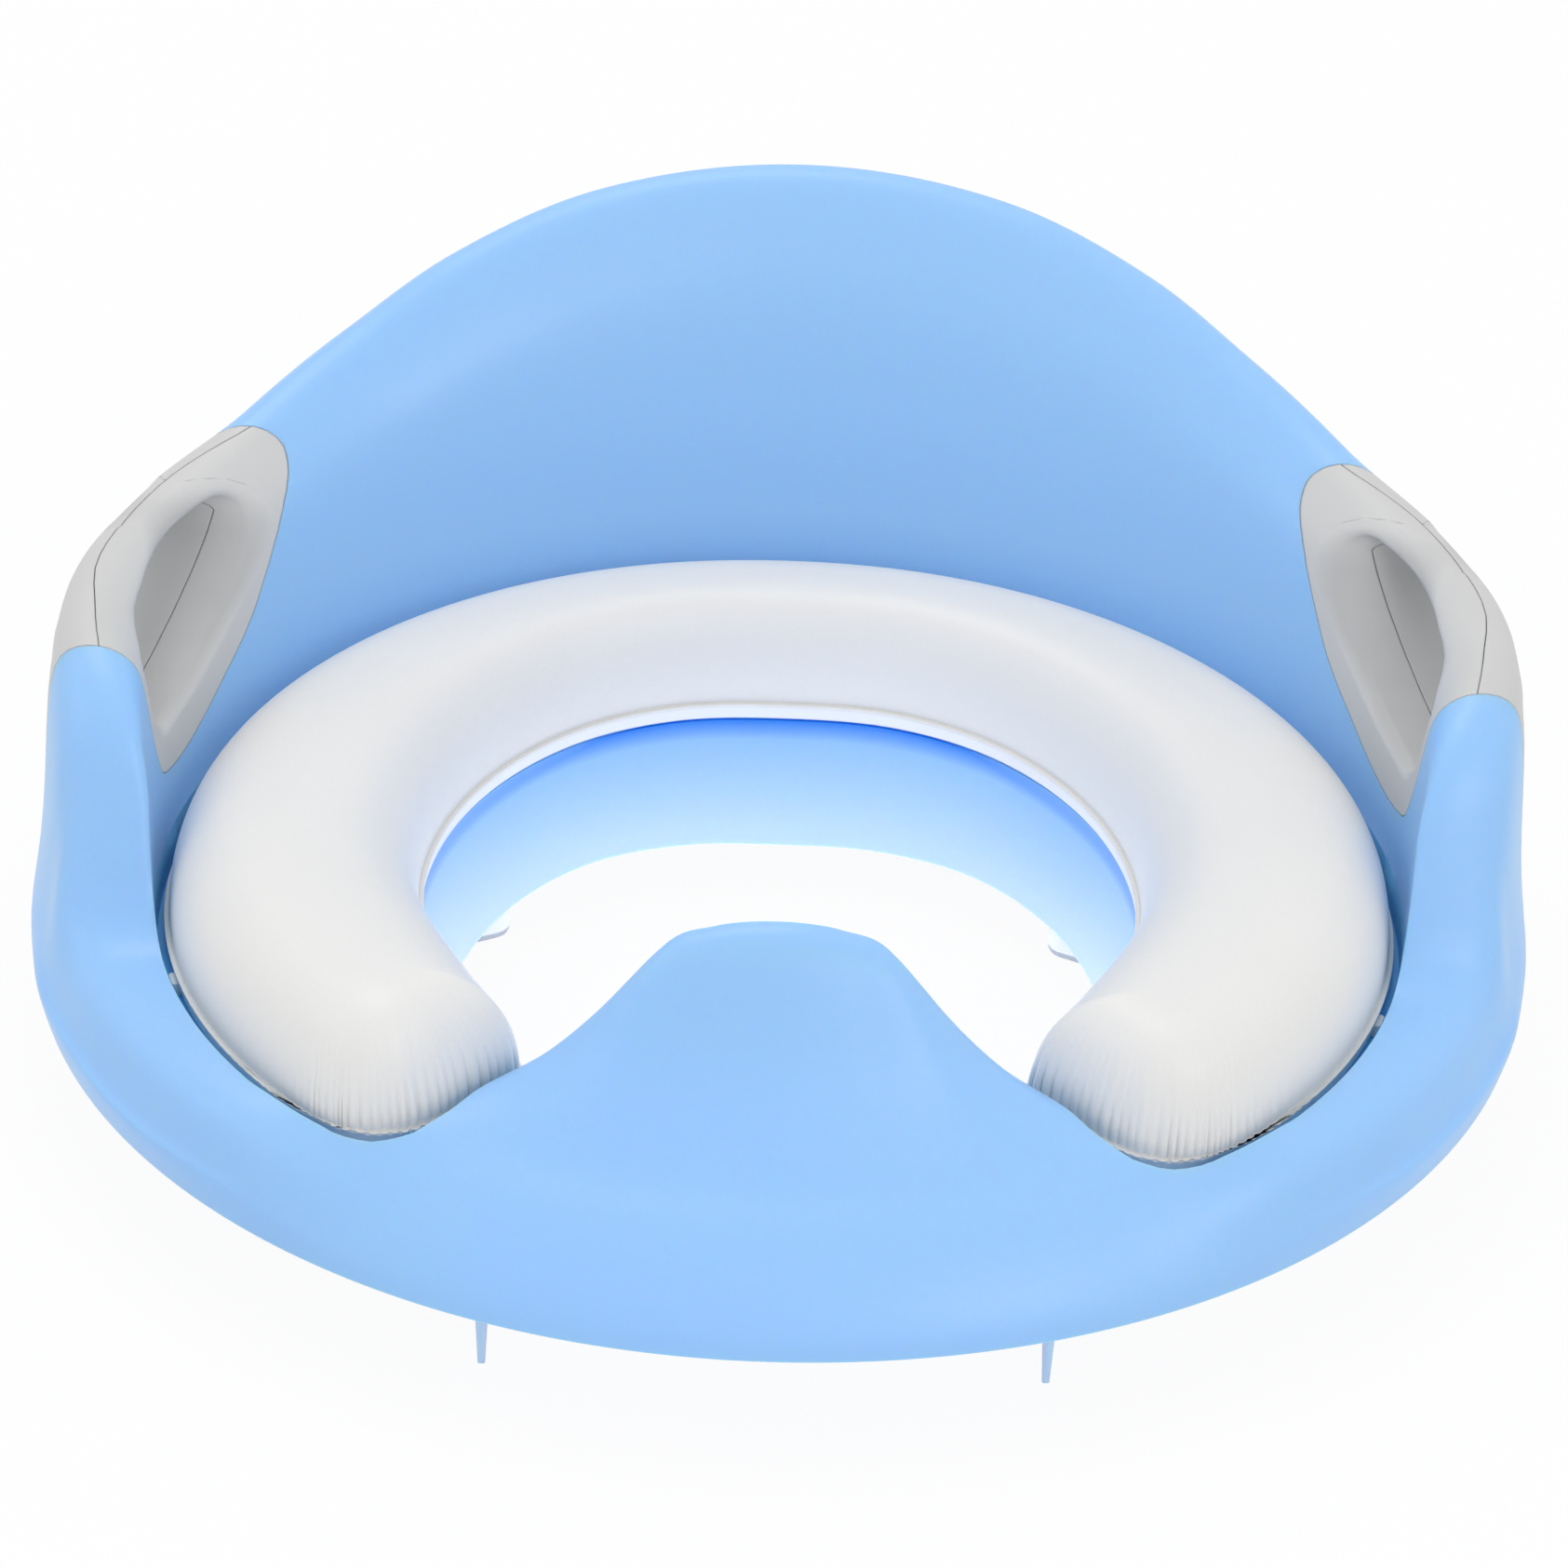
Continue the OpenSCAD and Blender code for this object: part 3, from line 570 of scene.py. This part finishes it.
def makeShell():
    hollow = skin("hollow", [shellRow(b * 3 - 90, shell["wall"], 34) for b in range(120)])
    pocket = prismUp("pocket", recessPlan(shell["wall"]), floorZ - shell["wall"], deckZ * 2)
    combine(hollow, pocket, "DIFFERENCE")
    for side in (-1, 1):
        wallRound = prismAcross("wallRound", gripOutline(shell["wall"]), side, grip["from"], grip["to"])
        combine(hollow, wallRound, "DIFFERENCE")
    body = combine(copyOf(envelope, "seatShell"), hollow, "DIFFERENCE")

    trim = copyOf(envelope, "trim")
    under = [rimPoint(k * 2) * 0.97 for k in range(180)]
    combine(trim, prismUp("under", under, 0, rimZ + 1), "UNION")
    inside = [Vector(shellRow(b * 3 - 90, 0, 4)[0][:2]) for b in range(120)]
    inside = [p + n for p, n in zip(inside, outwardOf(inside))]
    combine(trim, prismUp("inside", inside, 0, floorZ + 1), "UNION")

    start = shell["skirtFrom"]
    rows = [skirtRow(mix(start, 180 - start, i / 180)) for i in range(181)]
    under = loft("underside", rows)
    for side in (-1, 1):
        combine(under, frontFin(side), "UNION")
        for spot in (pads["front"], pads["rear"]):
            combine(under, padPost(spot, side), "UNION")
        for a in ribs["angles"]:
            if a < 90 or side > 0:
                combine(under, ribPlate(a, side), "UNION")
    combine(under, trim, "INTERSECT")
    combine(body, under, "UNION")

    combine(body, prismUp("recess", recessPlan(0), floorZ, deckZ * 2), "DIFFERENCE")
    for x, y in pegSpots():
        hole = disc(x, y, cushion["pegDiameter"] + 0.8)
        combine(body, prismUp("pegHole", hole, floorZ - 20, floorZ + 10), "DIFFERENCE")
    for side in (-1, 1):
        cutOut = prismAcross("cutOut", gripOutline(0), side, grip["from"], grip["to"])
        combine(body, cutOut, "DIFFERENCE")
    return body


def markRecessBounce(piece):  # marks the recess faces, where the shell's colour carries painted bounce light, a deeper blue
    loop = recessPlan(0)
    outward, tree = outwardOf(loop), treeOf([(*p, 0) for p in loop])
    inside = []
    for vertex in piece.data.vertices:
        x, y, z = vertex.co / mm
        _, k, _ = tree.find((x, y, 0))
        inside.append(z > floorZ - 0.1 and (Vector((x, y)) - loop[k]).dot(outward[k]) < 0.15)
    mark = piece.data.attributes.new("recess", "FLOAT", "FACE")
    mark.data.foreach_set("value", [float(all(inside[v] for v in face.vertices))
                                    for face in piece.data.polygons])


def makeGrips():
    halves = []
    for side, sideName in ((-1, "left"), (1, "right")):
        block = prismAcross("gripBlock", gripOutline(-grip["gap"]), side, grip["from"], grip["to"])
        whole = combine(copyOf(envelope, "grip"), block, "INTERSECT")
        combine(whole, holeCutter(side, envelopeTree), "DIFFERENCE")
        for spot in grip["screwAt"]:
            combine(whole, screwBore(side, spot), "DIFFERENCE")
        inner = combine(copyOf(whole, "handleInner" + sideName.title()), partingCore(-grip["partLine"] / 2),
                        "INTERSECT")
        outer = combine(copyOf(whole, "handleOuter" + sideName.title()), partingCore(grip["partLine"] / 2),
                        "DIFFERENCE")
        halves += [(inner, "handle_inner_" + sideName), (outer, "handle_outer_" + sideName)]
        bpy.data.objects.remove(whole)
    return halves


# Materials: fields made of shader nodes, written as sums
class Field:
    tree = None

    def __init__(self, socket):
        self.socket = socket

    @classmethod
    def node(cls, kind, settings=None, inputs=None, output=0):
        made = cls.tree.nodes.new(kind)
        for name, value in (settings or {}).items():
            setattr(made, name, value)
        for name, value in (inputs or {}).items():
            if isinstance(value, Field):
                cls.tree.links.new(value.socket, made.inputs[name])
            else:
                made.inputs[name].default_value = value
        return Field(made.outputs[output])

    def combined(self, operation, *others):
        parts = (self,) + others
        return Field.node("ShaderNodeMath", {"operation": operation}, dict(enumerate(parts)))

    def __add__(self, other):
        return self.combined("ADD", other)

    def __sub__(self, other):
        return self.combined("SUBTRACT", other)

    def __mul__(self, other):
        return self.combined("MULTIPLY", other)

    __radd__, __rmul__ = __add__, __mul__

    def __rsub__(self, other):
        return Field.node("ShaderNodeMath", {"operation": "SUBTRACT"}, {0: other, 1: self})

    def ranged(self, low, high, start=0.0, end=1.0):
        return Field.node("ShaderNodeMapRange", {"clamp": True},
                          {"Value": self, "From Min": low, "From Max": high, "To Min": start, "To Max": end})


def objectPlace():
    return Field.node("ShaderNodeTexCoord", output="Object")


def noiseField(scale, detail):
    inputs = {"Vector": objectPlace(), "Scale": scale, "Detail": detail}
    return Field.node("ShaderNodeTexNoise", {}, inputs, "Fac")


def speckle(scale, detail, low=0.0, high=1.0):
    return noiseField(scale, detail).ranged(0.3, 0.7, low, high)


def cloudy(scale, low=0.0, high=1.0):
    return noiseField(scale, 1).ranged(0.1, 0.9, low, high)


def placeParts():
    split = Field.node("ShaderNodeSeparateXYZ", {}, {"Vector": objectPlace()}).socket.node
    return [Field(split.outputs[k]) for k in range(3)]


def blend(factor, a, b):  # a is a colour or a field
    under = a if isinstance(a, Field) else (*a, 1)
    return Field.node("ShaderNodeMix", {"data_type": "RGBA"}, {0: factor, 6: under, 7: (*b, 1)}, 2)


def bump(height, depth, strength, below=None):
    inputs = {"Height": height, "Distance": depth, "Strength": strength}
    if below:
        inputs["Normal"] = below
    return Field.node("ShaderNodeBump", {}, inputs)


def bevelled(radius):
    return Field.node("ShaderNodeBevel", {"samples": 6}, {"Radius": radius})


def makeMaterial(name, build):
    material = bpy.data.materials.new(name)
    material.use_nodes = True
    tree = material.node_tree
    tree.nodes.clear()
    Field.tree = tree
    shader = tree.nodes.new("ShaderNodeBsdfPrincipled")
    output = tree.nodes.new("ShaderNodeOutputMaterial")
    tree.links.new(shader.outputs[0], output.inputs[0])
    for socket, value in build().items():
        if isinstance(value, Field):
            tree.links.new(value.socket, shader.inputs[socket])
        else:
            shader.inputs[socket].default_value = value
    return material


# below is painted light from underneath, skirtTopShade is painted shade under the board, recess is painted
# blue bounce light in the gap
blue = {"tones": [(0.315, 0.58, 1.0), (0.33, 0.595, 1.0)], "below": (0.56, 0.74, 1.0),
        "skirtTopShade": (0.02, 0.24, 0.9), "recess": (0.2, 0.6, 1.0),
        "skirtSquare": (0.0091, 0.0093)}  # square of the distance from the opening's middle, in metres


def shellBlue():  # painted light below (paler), painted blue bounce light in the recess (deeper) and painted shade where the skirt meets the deck
    tone = blend(cloudy(5), *blue["tones"])
    x, y, z = placeParts()
    y = y + openShift.y * mm
    # faces of the recess, which get painted blue bounce light
    recessBounceMask = Field.node("ShaderNodeAttribute", {"attribute_name": "recess"}, {}, "Fac")
    onSkirt = ((x * x + y * y).ranged(*blue["skirtSquare"], 1, 0)
               * z.ranged((deckZ - 3) * mm, deckZ * mm, 1, 0))
    # painted light from below: paler on the low parts of the shell and on the skirt
    pale = (z.ranged(0.026, 0.029, 1, 0).combined("MAXIMUM", onSkirt)
            * z.ranged(0.018, (floorZ - 4) * mm, 1, 0))
    tone = blend(pale, tone, blue["below"])
    # painted shade: a deep blue at the skirt's top, under the board's overhang
    tone = blend(onSkirt * z.ranged((floorZ - 6) * mm, (floorZ - 0.5) * mm), tone, blue["skirtTopShade"])
    # painted bounce light: the recess faces take a deeper blue
    return {"Base Color": blend(recessBounceMask, tone, blue["recess"]), "Roughness": cloudy(7, 0.36, 0.42),
            "Coat Weight": 0.1, "Coat Roughness": 0.22, "IOR": 1.48, "Subsurface Weight": 0.5,
            "Subsurface Scale": 0.004, "Subsurface Radius": (0.15, 0.5, 1.0)}


# the darker grey is painted shade inside the finger hole
grey = {"tones": [(0.60, 0.597, 0.585), (0.625, 0.622, 0.61)], "paintedHoleShade": (0.44, 0.44, 0.44),
        "holeMiddle": (31, 46), "holeScale": (27, 68), "holeLean": (0.16, 1.1), "holeShade": 0.85}


def gripGrey():  # painted shade inside the finger hole: darker within a leaning ellipse round its middle
    tone = blend(speckle(12, 3), *grey["tones"])
    x, y, z = placeParts()
    y = (y - grey["holeMiddle"][0] * mm) * grey["holeScale"][0]
    z = (z - (deckZ + grey["holeMiddle"][1]) * mm) * grey["holeScale"][1]
    u, v = y + z * grey["holeLean"][0], z - y * grey["holeLean"][1]
    # painted shade: darker inside the hole's ellipse
    paintedHoleShade = (u * u + v * v).ranged(0.9, 1.25, grey["holeShade"], 0)
    return {"Base Color": blend(paintedHoleShade, tone, grey["paintedHoleShade"]), "Roughness": speckle(80, 3, 0.38, 0.46),
            "IOR": 1.46, "Normal": bump(noiseField(1500, 3), 0.00004, 0.3, bevelled(0.0006))}


def cushionVinyl():
    grain = Field.node("ShaderNodeTexVoronoi", {"feature": "DISTANCE_TO_EDGE"},
                       {"Vector": objectPlace(), "Scale": 900}, "Distance").ranged(0, 0.25)
    return {"Base Color": blend(speckle(14, 3), (0.785, 0.775, 0.755), (0.81, 0.80, 0.78)),
            "Roughness": speckle(45, 4, 0.38, 0.46), "Sheen Weight": 0.05,
            "Normal": bump(grain, 0.00008, 0.25, bump(noiseField(170, 3), 0.0003, 0.2))}


def boardWhite():
    return {"Base Color": blend(speckle(20, 2), (0.84, 0.85, 0.86), (0.87, 0.88, 0.89)),
            "Roughness": speckle(70, 3, 0.3, 0.38),
            "Normal": bump(noiseField(1800, 2), 0.00003, 0.3, bevelled(0.0005))}


def seamThread():
    return {"Base Color": blend(speckle(120, 2), (0.72, 0.69, 0.63), (0.78, 0.75, 0.69)),
            "Roughness": speckle(300, 2, 0.5, 0.6)}


def padRubber():
    return {"Base Color": blend(speckle(30, 3), (0.92, 0.92, 0.91), (0.95, 0.95, 0.94)),
            "Roughness": speckle(90, 3, 0.6, 0.72),
            "Normal": bump(noiseField(1300, 3), 0.00006, 0.4, bevelled(0.0006))}


def screwSteel():
    return {"Base Color": blend(speckle(200, 3), (0.55, 0.55, 0.56), (0.62, 0.62, 0.63)), "Metallic": 1.0,
            "Roughness": speckle(600, 3, 0.22, 0.34), "Normal": bump(noiseField(2500, 2), 0.00001, 0.2)}


finish = {slot: makeMaterial(slot, build) for slot, build in
          [("shell_blue", shellBlue), ("handle_grey", gripGrey), ("cushion_white", cushionVinyl),
           ("board_white", boardWhite), ("seam_thread", seamThread), ("pad_white", padRubber),
           ("screw_steel", screwSteel)]}
print("materials made")


# Geometry Nodes: build joins the group's fields, values are its named inputs
def grown(name, start, material, values, build):
    group = bpy.data.node_groups.new(name, "GeometryNodeTree")
    group.interface.new_socket("Geometry", in_out="INPUT", socket_type="NodeSocketGeometry")
    group.interface.new_socket("Geometry", in_out="OUTPUT", socket_type="NodeSocketGeometry")
    for label, value in values.items():
        kind = "NodeSocketInt" if isinstance(value, int) else "NodeSocketFloat"
        group.interface.new_socket(label, in_out="INPUT", socket_type=kind)
    Field.tree = group
    source = group.nodes.new("NodeGroupInput")
    given = {socket.name: Field(socket) for socket in source.outputs if socket.name}
    whole = Field.node("GeometryNodeRealizeInstances", {}, {"Geometry": build(given)})
    dressed = Field.node("GeometryNodeSetMaterial", {}, {"Geometry": whole, "Material": material})
    group.links.new(dressed.socket, group.nodes.new("NodeGroupOutput").inputs[0])
    modifier = start.modifiers.new(name, "NODES")
    modifier.node_group = group
    for item in group.interface.items_tree:
        if item.in_out == "INPUT" and item.name in values:
            modifier[item.identifier] = values[item.name]
    applyModifiers(start)
    return start


def sweptBead(name, loop, radius, material):
    mesh = bpy.data.meshes.new(name)
    n = len(loop)
    mesh.from_pydata([p * mm for p in loop], [(i, (i + 1) % n) for i in range(n)], [])
    path = bpy.data.objects.new(name, mesh)
    bpy.context.scene.collection.objects.link(path)

    def build(given):
        line = Field.node("GeometryNodeMeshToCurve", {}, {"Mesh": given["Geometry"]})
        line = Field.node("GeometryNodeResampleCurve", {"mode": "LENGTH"},
                          {"Curve": line, "Length": given["Step"]})
        ring = Field.node("GeometryNodeCurvePrimitiveCircle", {},
                          {"Resolution": given["Sides"], "Radius": given["Radius"]})
        return Field.node("GeometryNodeCurveToMesh", {}, {"Curve": line, "Profile Curve": ring})

    bead = grown(name, path, material, {"Step": 0.8 * mm, "Sides": 8, "Radius": radius * mm}, build)
    bead.data.shade_smooth()
    return bead


def studField(name, material):  # rows of small domes, centred and facing down
    start = bpy.data.objects.new(name, bpy.data.meshes.new(name))
    bpy.context.scene.collection.objects.link(start)

    def build(given):
        rows = Field.node("GeometryNodeMeshGrid", {},
                          {"Size X": given["Length"], "Size Y": given["Width"], "Vertices X": given["Along"],
                           "Vertices Y": given["Across"]})
        stud = Field.node("GeometryNodeMeshUVSphere", {},
                          {"Segments": 10, "Rings": 6, "Radius": given["Radius"]})
        return Field.node("GeometryNodeInstanceOnPoints", {},
                          {"Points": rows, "Instance": stud, "Scale": (1, 1, 0.5)})

    values = {"Length": (pads["length"] - 9) * mm, "Width": (pads["width"] - 8) * mm, "Along": 8, "Across": 4,
              "Radius": 1.2 * mm}
    studs = grown(name, start, material, values, build)
    studs.data.shade_smooth()
    return studs


body = makeShell()
finishSurface(body, finish["shell_blue"])
markRecessBounce(body)
place(body, "seat_shell", "shell_blue")
print("seat shell made", len(body.data.polygons))

for half, node in makeGrips():
    finishSurface(half, finish["handle_grey"])
    place(half, node, "handle_grey")
print("handles made")


# Cushion: rings from the welded flange's edge in to the middle line of the C, swollen by a cloth simulation
padding = {"flange": 0.9, "inset": 0.6, "flangeWidth": 1.3, "fullness": 3.4, "seam": 0.28, "middleInset": 30,
           "ringSpacing": 1.6, "coverCounts": (240, 330, 44), "clothCounts": (28, 90, 18), "clothShrink": 1.2,
           "clothWeld": 0.3, "voxel": 5, "pressure": 4, "frames": 20, "cap": 3,
           "pleatEvery": 3.1, "pleatDepth": 0.95, "pleatHeight": 11, "crinkle": 0.05}


def middleLine(edge):  # held back from the tips
    start = tipAt(0.5, padding["middleInset"], "coverTip")
    middle = []
    for a, v in edge:
        b = a if a <= 90 else 180 - a
        b = b if b > start + 12 else start + 8 * ease(start - 14, start + 12, b)
        middle.append(cushionPoint(b if a <= 90 else 180 - b, 0.5))
    return middle


def coverRings(tipCount, sideCount, ringCount, shrink=0):
    edge = cushionEdge("coverTip", tipCount, sideCount, padding["inset"] + shrink)
    foot = [cushionPoint(a, v) for a, v in
            cushionEdge("coverTip", tipCount, sideCount, padding["inset"] + padding["flangeWidth"] + shrink)]
    outline, middle = [cushionPoint(a, v) for a, v in edge], middleLine(edge)
    flange = cushionZ + padding["flange"]
    rings = [[Vector((*p, cushionZ)) for p in outline], [Vector((*p, flange)) for p in outline]]
    for i in range(ringCount + 1):
        t = (i / ringCount)**padding["ringSpacing"]
        rise = (cushion["height"] - padding["flange"] - shrink) * (1 - (1 - t)**padding["fullness"])**0.5
        rings.append([Vector((*mix(p, q, t), flange + rise)) for p, q in zip(foot, middle)])
    return rings


def closedRings(name, rings):
    m = len(rings[0])
    faces = [(i * m + j, i * m + (j + 1) % m, (i + 1) * m + (j + 1) % m, (i + 1) * m + j)
             for i in range(len(rings) - 1) for j in range(m)]
    faces.append(tuple(range(m)))
    return makeObject(name, [p for ring in rings for p in ring], faces)


def clothMoves():  # simulates a slightly smaller copy: where its points start, and how far each moves
    soft = closedRings("softPad", coverRings(*padding["clothCounts"], padding["clothShrink"]))
    tidyMesh(soft, padding["clothWeld"])
    bpy.context.view_layer.objects.active = soft
    remesh = soft.modifiers.new("remesh", "REMESH")
    remesh.mode = "VOXEL"
    remesh.voxel_size = padding["voxel"] * mm
    applyModifiers(soft)
    start = [v.co.copy() for v in soft.data.vertices]
    low = soft.vertex_groups.new(name="low")
    for v in soft.data.vertices:
        low.add([v.index], 1 - ease(cushionZ + 3, cushionZ + 9, v.co.z / mm), "REPLACE")
    cloth = soft.modifiers.new("cloth", "CLOTH")
    cloth.settings.vertex_group_mass = "low"
    cloth.settings.use_pressure = True
    cloth.settings.uniform_pressure_force = padding["pressure"]
    cloth.settings.effector_weights.gravity = 0
    cloth.point_cache.frame_start = 1
    cloth.point_cache.frame_end = padding["frames"]
    for number in range(1, padding["frames"] + 1):
        bpy.context.scene.frame_set(number)
    applyModifiers(soft)
    moves = [v.co - p for v, p in zip(soft.data.vertices, start)]
    bpy.data.objects.remove(soft)
    bpy.context.scene.frame_set(1)
    return start, moves


def makeCushion():
    rings = coverRings(*padding["coverCounts"])
    start, moves = clothMoves()
    tree = treeOf(start)
    for ring in rings[3:]:
        for j, p in enumerate(ring):
            near = tree.find_n(p * mm, 6)
            weights = [1 / (d + 0.001)**2 for _, _, d in near]
            total = sum((moves[i] * w for (_, i, _), w in zip(near, weights)), Vector())
            move = total / sum(weights) / mm
            move *= min(1, padding["cap"] / max(move.length, 0.001)) * ease(0, 10, p.z - cushionZ)
            ring[j] = p + move
    pleat(rings)
    piece = closedRings("cushionCover", rings)
    tidyMesh(piece, 0.02)
    return piece, rings[2]


def pleat(rings):
    outline = [Vector(p[:2]) for p in rings[1]]
    outward, run, travelled = outwardOf(outline), [], 0
    for p, q in zip(outline, outline[1:] + outline[:1]):
        run.append(travelled)
        travelled += (q - p).length
    for ring in rings[1:]:
        for j, p in enumerate(ring):
            s = run[j]
            a = math.degrees(math.atan2(p.y + openShift.y, abs(p.x)))
            gather = 1 - ease(-42, -24, a)
            phase = math.pi * s / padding["pleatEvery"] + 0.7 * math.sin(s / 6.1) + 0.5 * math.sin(s / 2.7)
            wave = 2 * abs(math.sin(phase))**0.7 - 1.2
            size = padding["pleatDepth"] * (0.6 + 0.4 * math.sin(s / 8.3) * math.sin(s / 5.2 + 1))
            h = p.z - cushionZ
            fade = (ease(0, 1.5, h) * 0.5 + 0.5) * math.exp(-(h / padding["pleatHeight"])**2)
            crinkle = padding["crinkle"] * math.sin(s * 1.9 + math.sin(s / 1.7) + h / 3)
            crinkle *= ease(6, 12, h) * (1 - ease(20, 28, h))
            out = outward[j] * ((wave * size * fade + crinkle) * (0.06 + 0.94 * gather))
            p.x += out.x
            p.y += out.y


cover, seamPath = makeCushion()
finishSurface(cover, finish["cushion_white"], 50)
place(cover, "cushion", "cushion_white")
seam = sweptBead("cushionSeam", seamPath, padding["seam"], finish["seam_thread"])
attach(seam, "root")
print("cushion made")


def makeBoard():
    top = floorZ + cushion["boardHeight"]
    wall = cushion["boardWall"]
    inset = cushion["boardInset"]
    board = prismUp("cushionBoard", cushionPlan(-inset, "coverTip"), floorZ + cushion["boardStep"], top)
    combine(board, prismUp("boardFoot", cushionPlan(-inset - 1.5, "coverTip"), floorZ, top - 1), "UNION")
    hollow = prismUp("boardHollow", cushionPlan(-inset - wall, "coverTip"), floorZ - 1, top - wall)
    combine(board, hollow, "DIFFERENCE")
    for side in (-1, 1):
        a = cushion["tabAngle"]
        p = cushionPoint(a, 1) + openShift
        out = Vector((p.x / cushion["side"]**2, p.y / cushion["front"]**2)).normalized()
        run, reach = Vector((-out.y, out.x)) * cushion["tabLength"] / 2, out * cushion["tabReach"]
        back = out * (wall + inset)
        root = cushionPoint(a, 1) - back
        corners = rounded([root - run, root - run + reach + back, root + run + reach + back, root + run],
                          1, 1)
        tab = prismUp("tab", [(side * c.x, c.y) for c in corners], floorZ, top - 1)
        combine(board, tab, "UNION")
    for x, y in pegSpots():
        peg = prismUp("peg", disc(x, y, cushion["pegDiameter"]), floorZ - pegs["drop"], top - wall + 0.5)
        bore = disc(x, y, cushion["pegDiameter"] - 2 * wall + 0.4)
        combine(peg, prismUp("pegBore", bore, floorZ - pegs["drop"] - 1, floorZ), "DIFFERENCE")
        combine(board, peg, "UNION")
    return board


board = makeBoard()
finishSurface(board, finish["board_white"])
place(board, "cushion_board", "board_white")
print("board made")


def makePad(spot, side, name):
    length, width, edge = pads["length"], pads["width"], pads["edge"]
    levels = [(z + pads["stud"], cut) for z, cut in edge]
    levels += [(pads["height"] - z, cut) for z, cut in reversed(edge)]
    outer = [[(x, y, z) for x, y in padOutline(length - 2 * cut, width - 2 * cut, pads["round"])]
             for z, cut in levels]
    block = loft(name, [atPad(ring, spot, side) for ring in outer])
    socket = padOutline(length - pads["socketInset"], width - pads["socketInset"], 3)
    inner = [[(x, y, z) for x, y in socket] for z in (pads["height"] - pads["socket"], pads["height"] + 5)]
    return combine(block, loft("socket", [atPad(ring, spot, side) for ring in inner]), "DIFFERENCE")


for end in ("front", "rear"):
    for side, sideName in ((-1, "left"), (1, "right")):
        foot = makePad(pads[end], side, "pad" + end.title() + sideName.title())
        finishSurface(foot, finish["pad_white"])
        place(foot, "pad_" + end + "_" + sideName, "pad_white")
        x, y, turn = pads[end]
        studs = studField("padStuds" + end.title() + sideName.title(), finish["pad_white"])
        studs.data.transform(Matrix.Translation(Vector((side * x, y, 0.6)) * mm)
                             @ Matrix.Rotation(math.radians(side * turn), 4, "Z"))
        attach(studs, "root")
print("pads made")

for side in ("left", "right"):
    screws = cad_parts["handle_screws_" + side]
    screws.data.materials.clear()
    screws.data.materials.append(finish["screw_steel"])


# Stage: pale floor, soft lamps and a plain world
stage = {"floorSize": 6, "floorWhite": 0.9, "floorInView": 0.94, "worldLevel": 0.79,
         "skyColour": (0.97, 0.98, 1.0)}
lamps = {"topLamp": {"spot": (-0.3, 0.5, 1.9), "aim": (0, 0, 0.08), "size": 1.2, "watts": 7.5},
         "sideLamp": {"spot": (-1.5, -0.4, 1.3), "aim": (0, 0, 0.08), "size": 0.8, "watts": 1.5},
         "frontLamp": {"spot": (0.8, -1.3, 1.0), "aim": (0, 0, 0.08), "size": 0.8, "watts": 4},
         "tableGlow": {"spot": (0, -0.02, 0.003), "aim": (0, -0.02, 1), "size": 0.22, "watts": 0.085}}


def addLamp(name, lampData):
    data = bpy.data.lights.new(name, "AREA")
    data.shape = "DISK"
    data.size = lampData["size"]
    data.energy = lampData["watts"]
    lamp = bpy.data.objects.new(name, data)
    lamp.visible_camera = False
    spot, aim = Vector(lampData["spot"]), Vector(lampData["aim"])
    lamp.matrix_world = Matrix.Translation(spot) @ (aim - spot).to_track_quat("-Z", "Y").to_matrix().to_4x4()
    bpy.context.scene.collection.objects.link(lamp)


def plainShader(tree, kind, colour, strength=None):
    shader = tree.nodes.new(kind)
    shader.inputs["Color"].default_value = (*colour, 1)
    if strength is not None:
        shader.inputs["Strength"].default_value = strength
    return shader


def whiteInView(tree, plain, white, outputKind, amount):  # white to the camera and in reflections
    Field.tree = tree
    path = tree.nodes.new("ShaderNodeLightPath")
    seen = Field(path.outputs["Is Camera Ray"]).combined("MAXIMUM", Field(path.outputs["Is Glossy Ray"]))
    seen = seen.combined("MAXIMUM", Field(path.outputs["Is Transmission Ray"])) * amount
    mixed = tree.nodes.new("ShaderNodeMixShader")
    tree.links.new(seen.socket, mixed.inputs[0])
    tree.links.new(plain.outputs[0], mixed.inputs[1])
    tree.links.new(white.outputs[0], mixed.inputs[2])
    tree.links.new(mixed.outputs[0], tree.nodes.new(outputKind).inputs[0])


def makeStage():
    half = stage["floorSize"] / 2
    mesh = bpy.data.meshes.new("floor")
    corners = [(-half, -half, 0), (half, -half, 0), (half, half, 0), (-half, half, 0)]
    mesh.from_pydata(corners, [], [(0, 1, 2, 3)])
    floor = bpy.data.objects.new("floor", mesh)
    bpy.context.scene.collection.objects.link(floor)
    material = bpy.data.materials.new("floorPale")
    material.use_nodes = True
    tree = material.node_tree
    tree.nodes.clear()
    whiteInView(tree, plainShader(tree, "ShaderNodeBsdfDiffuse", (stage["floorWhite"],) * 3),
                plainShader(tree, "ShaderNodeEmission", (1, 1, 1), 1), "ShaderNodeOutputMaterial",
                stage["floorInView"])
    mesh.materials.append(material)

    world = bpy.data.worlds.new("plainWorld")
    world.use_nodes = True
    tree = world.node_tree
    tree.nodes.clear()
    whiteInView(tree, plainShader(tree, "ShaderNodeBackground", stage["skyColour"], stage["worldLevel"]),
                plainShader(tree, "ShaderNodeBackground", (1, 1, 1), 1), "ShaderNodeOutputWorld", 1)
    bpy.context.scene.world = world
    for name, lampData in lamps.items():
        addLamp(name, lampData)


makeStage()
bpy.context.scene.view_settings.view_transform = "Standard"
bpy.data.objects.remove(envelope)
print("stage made")
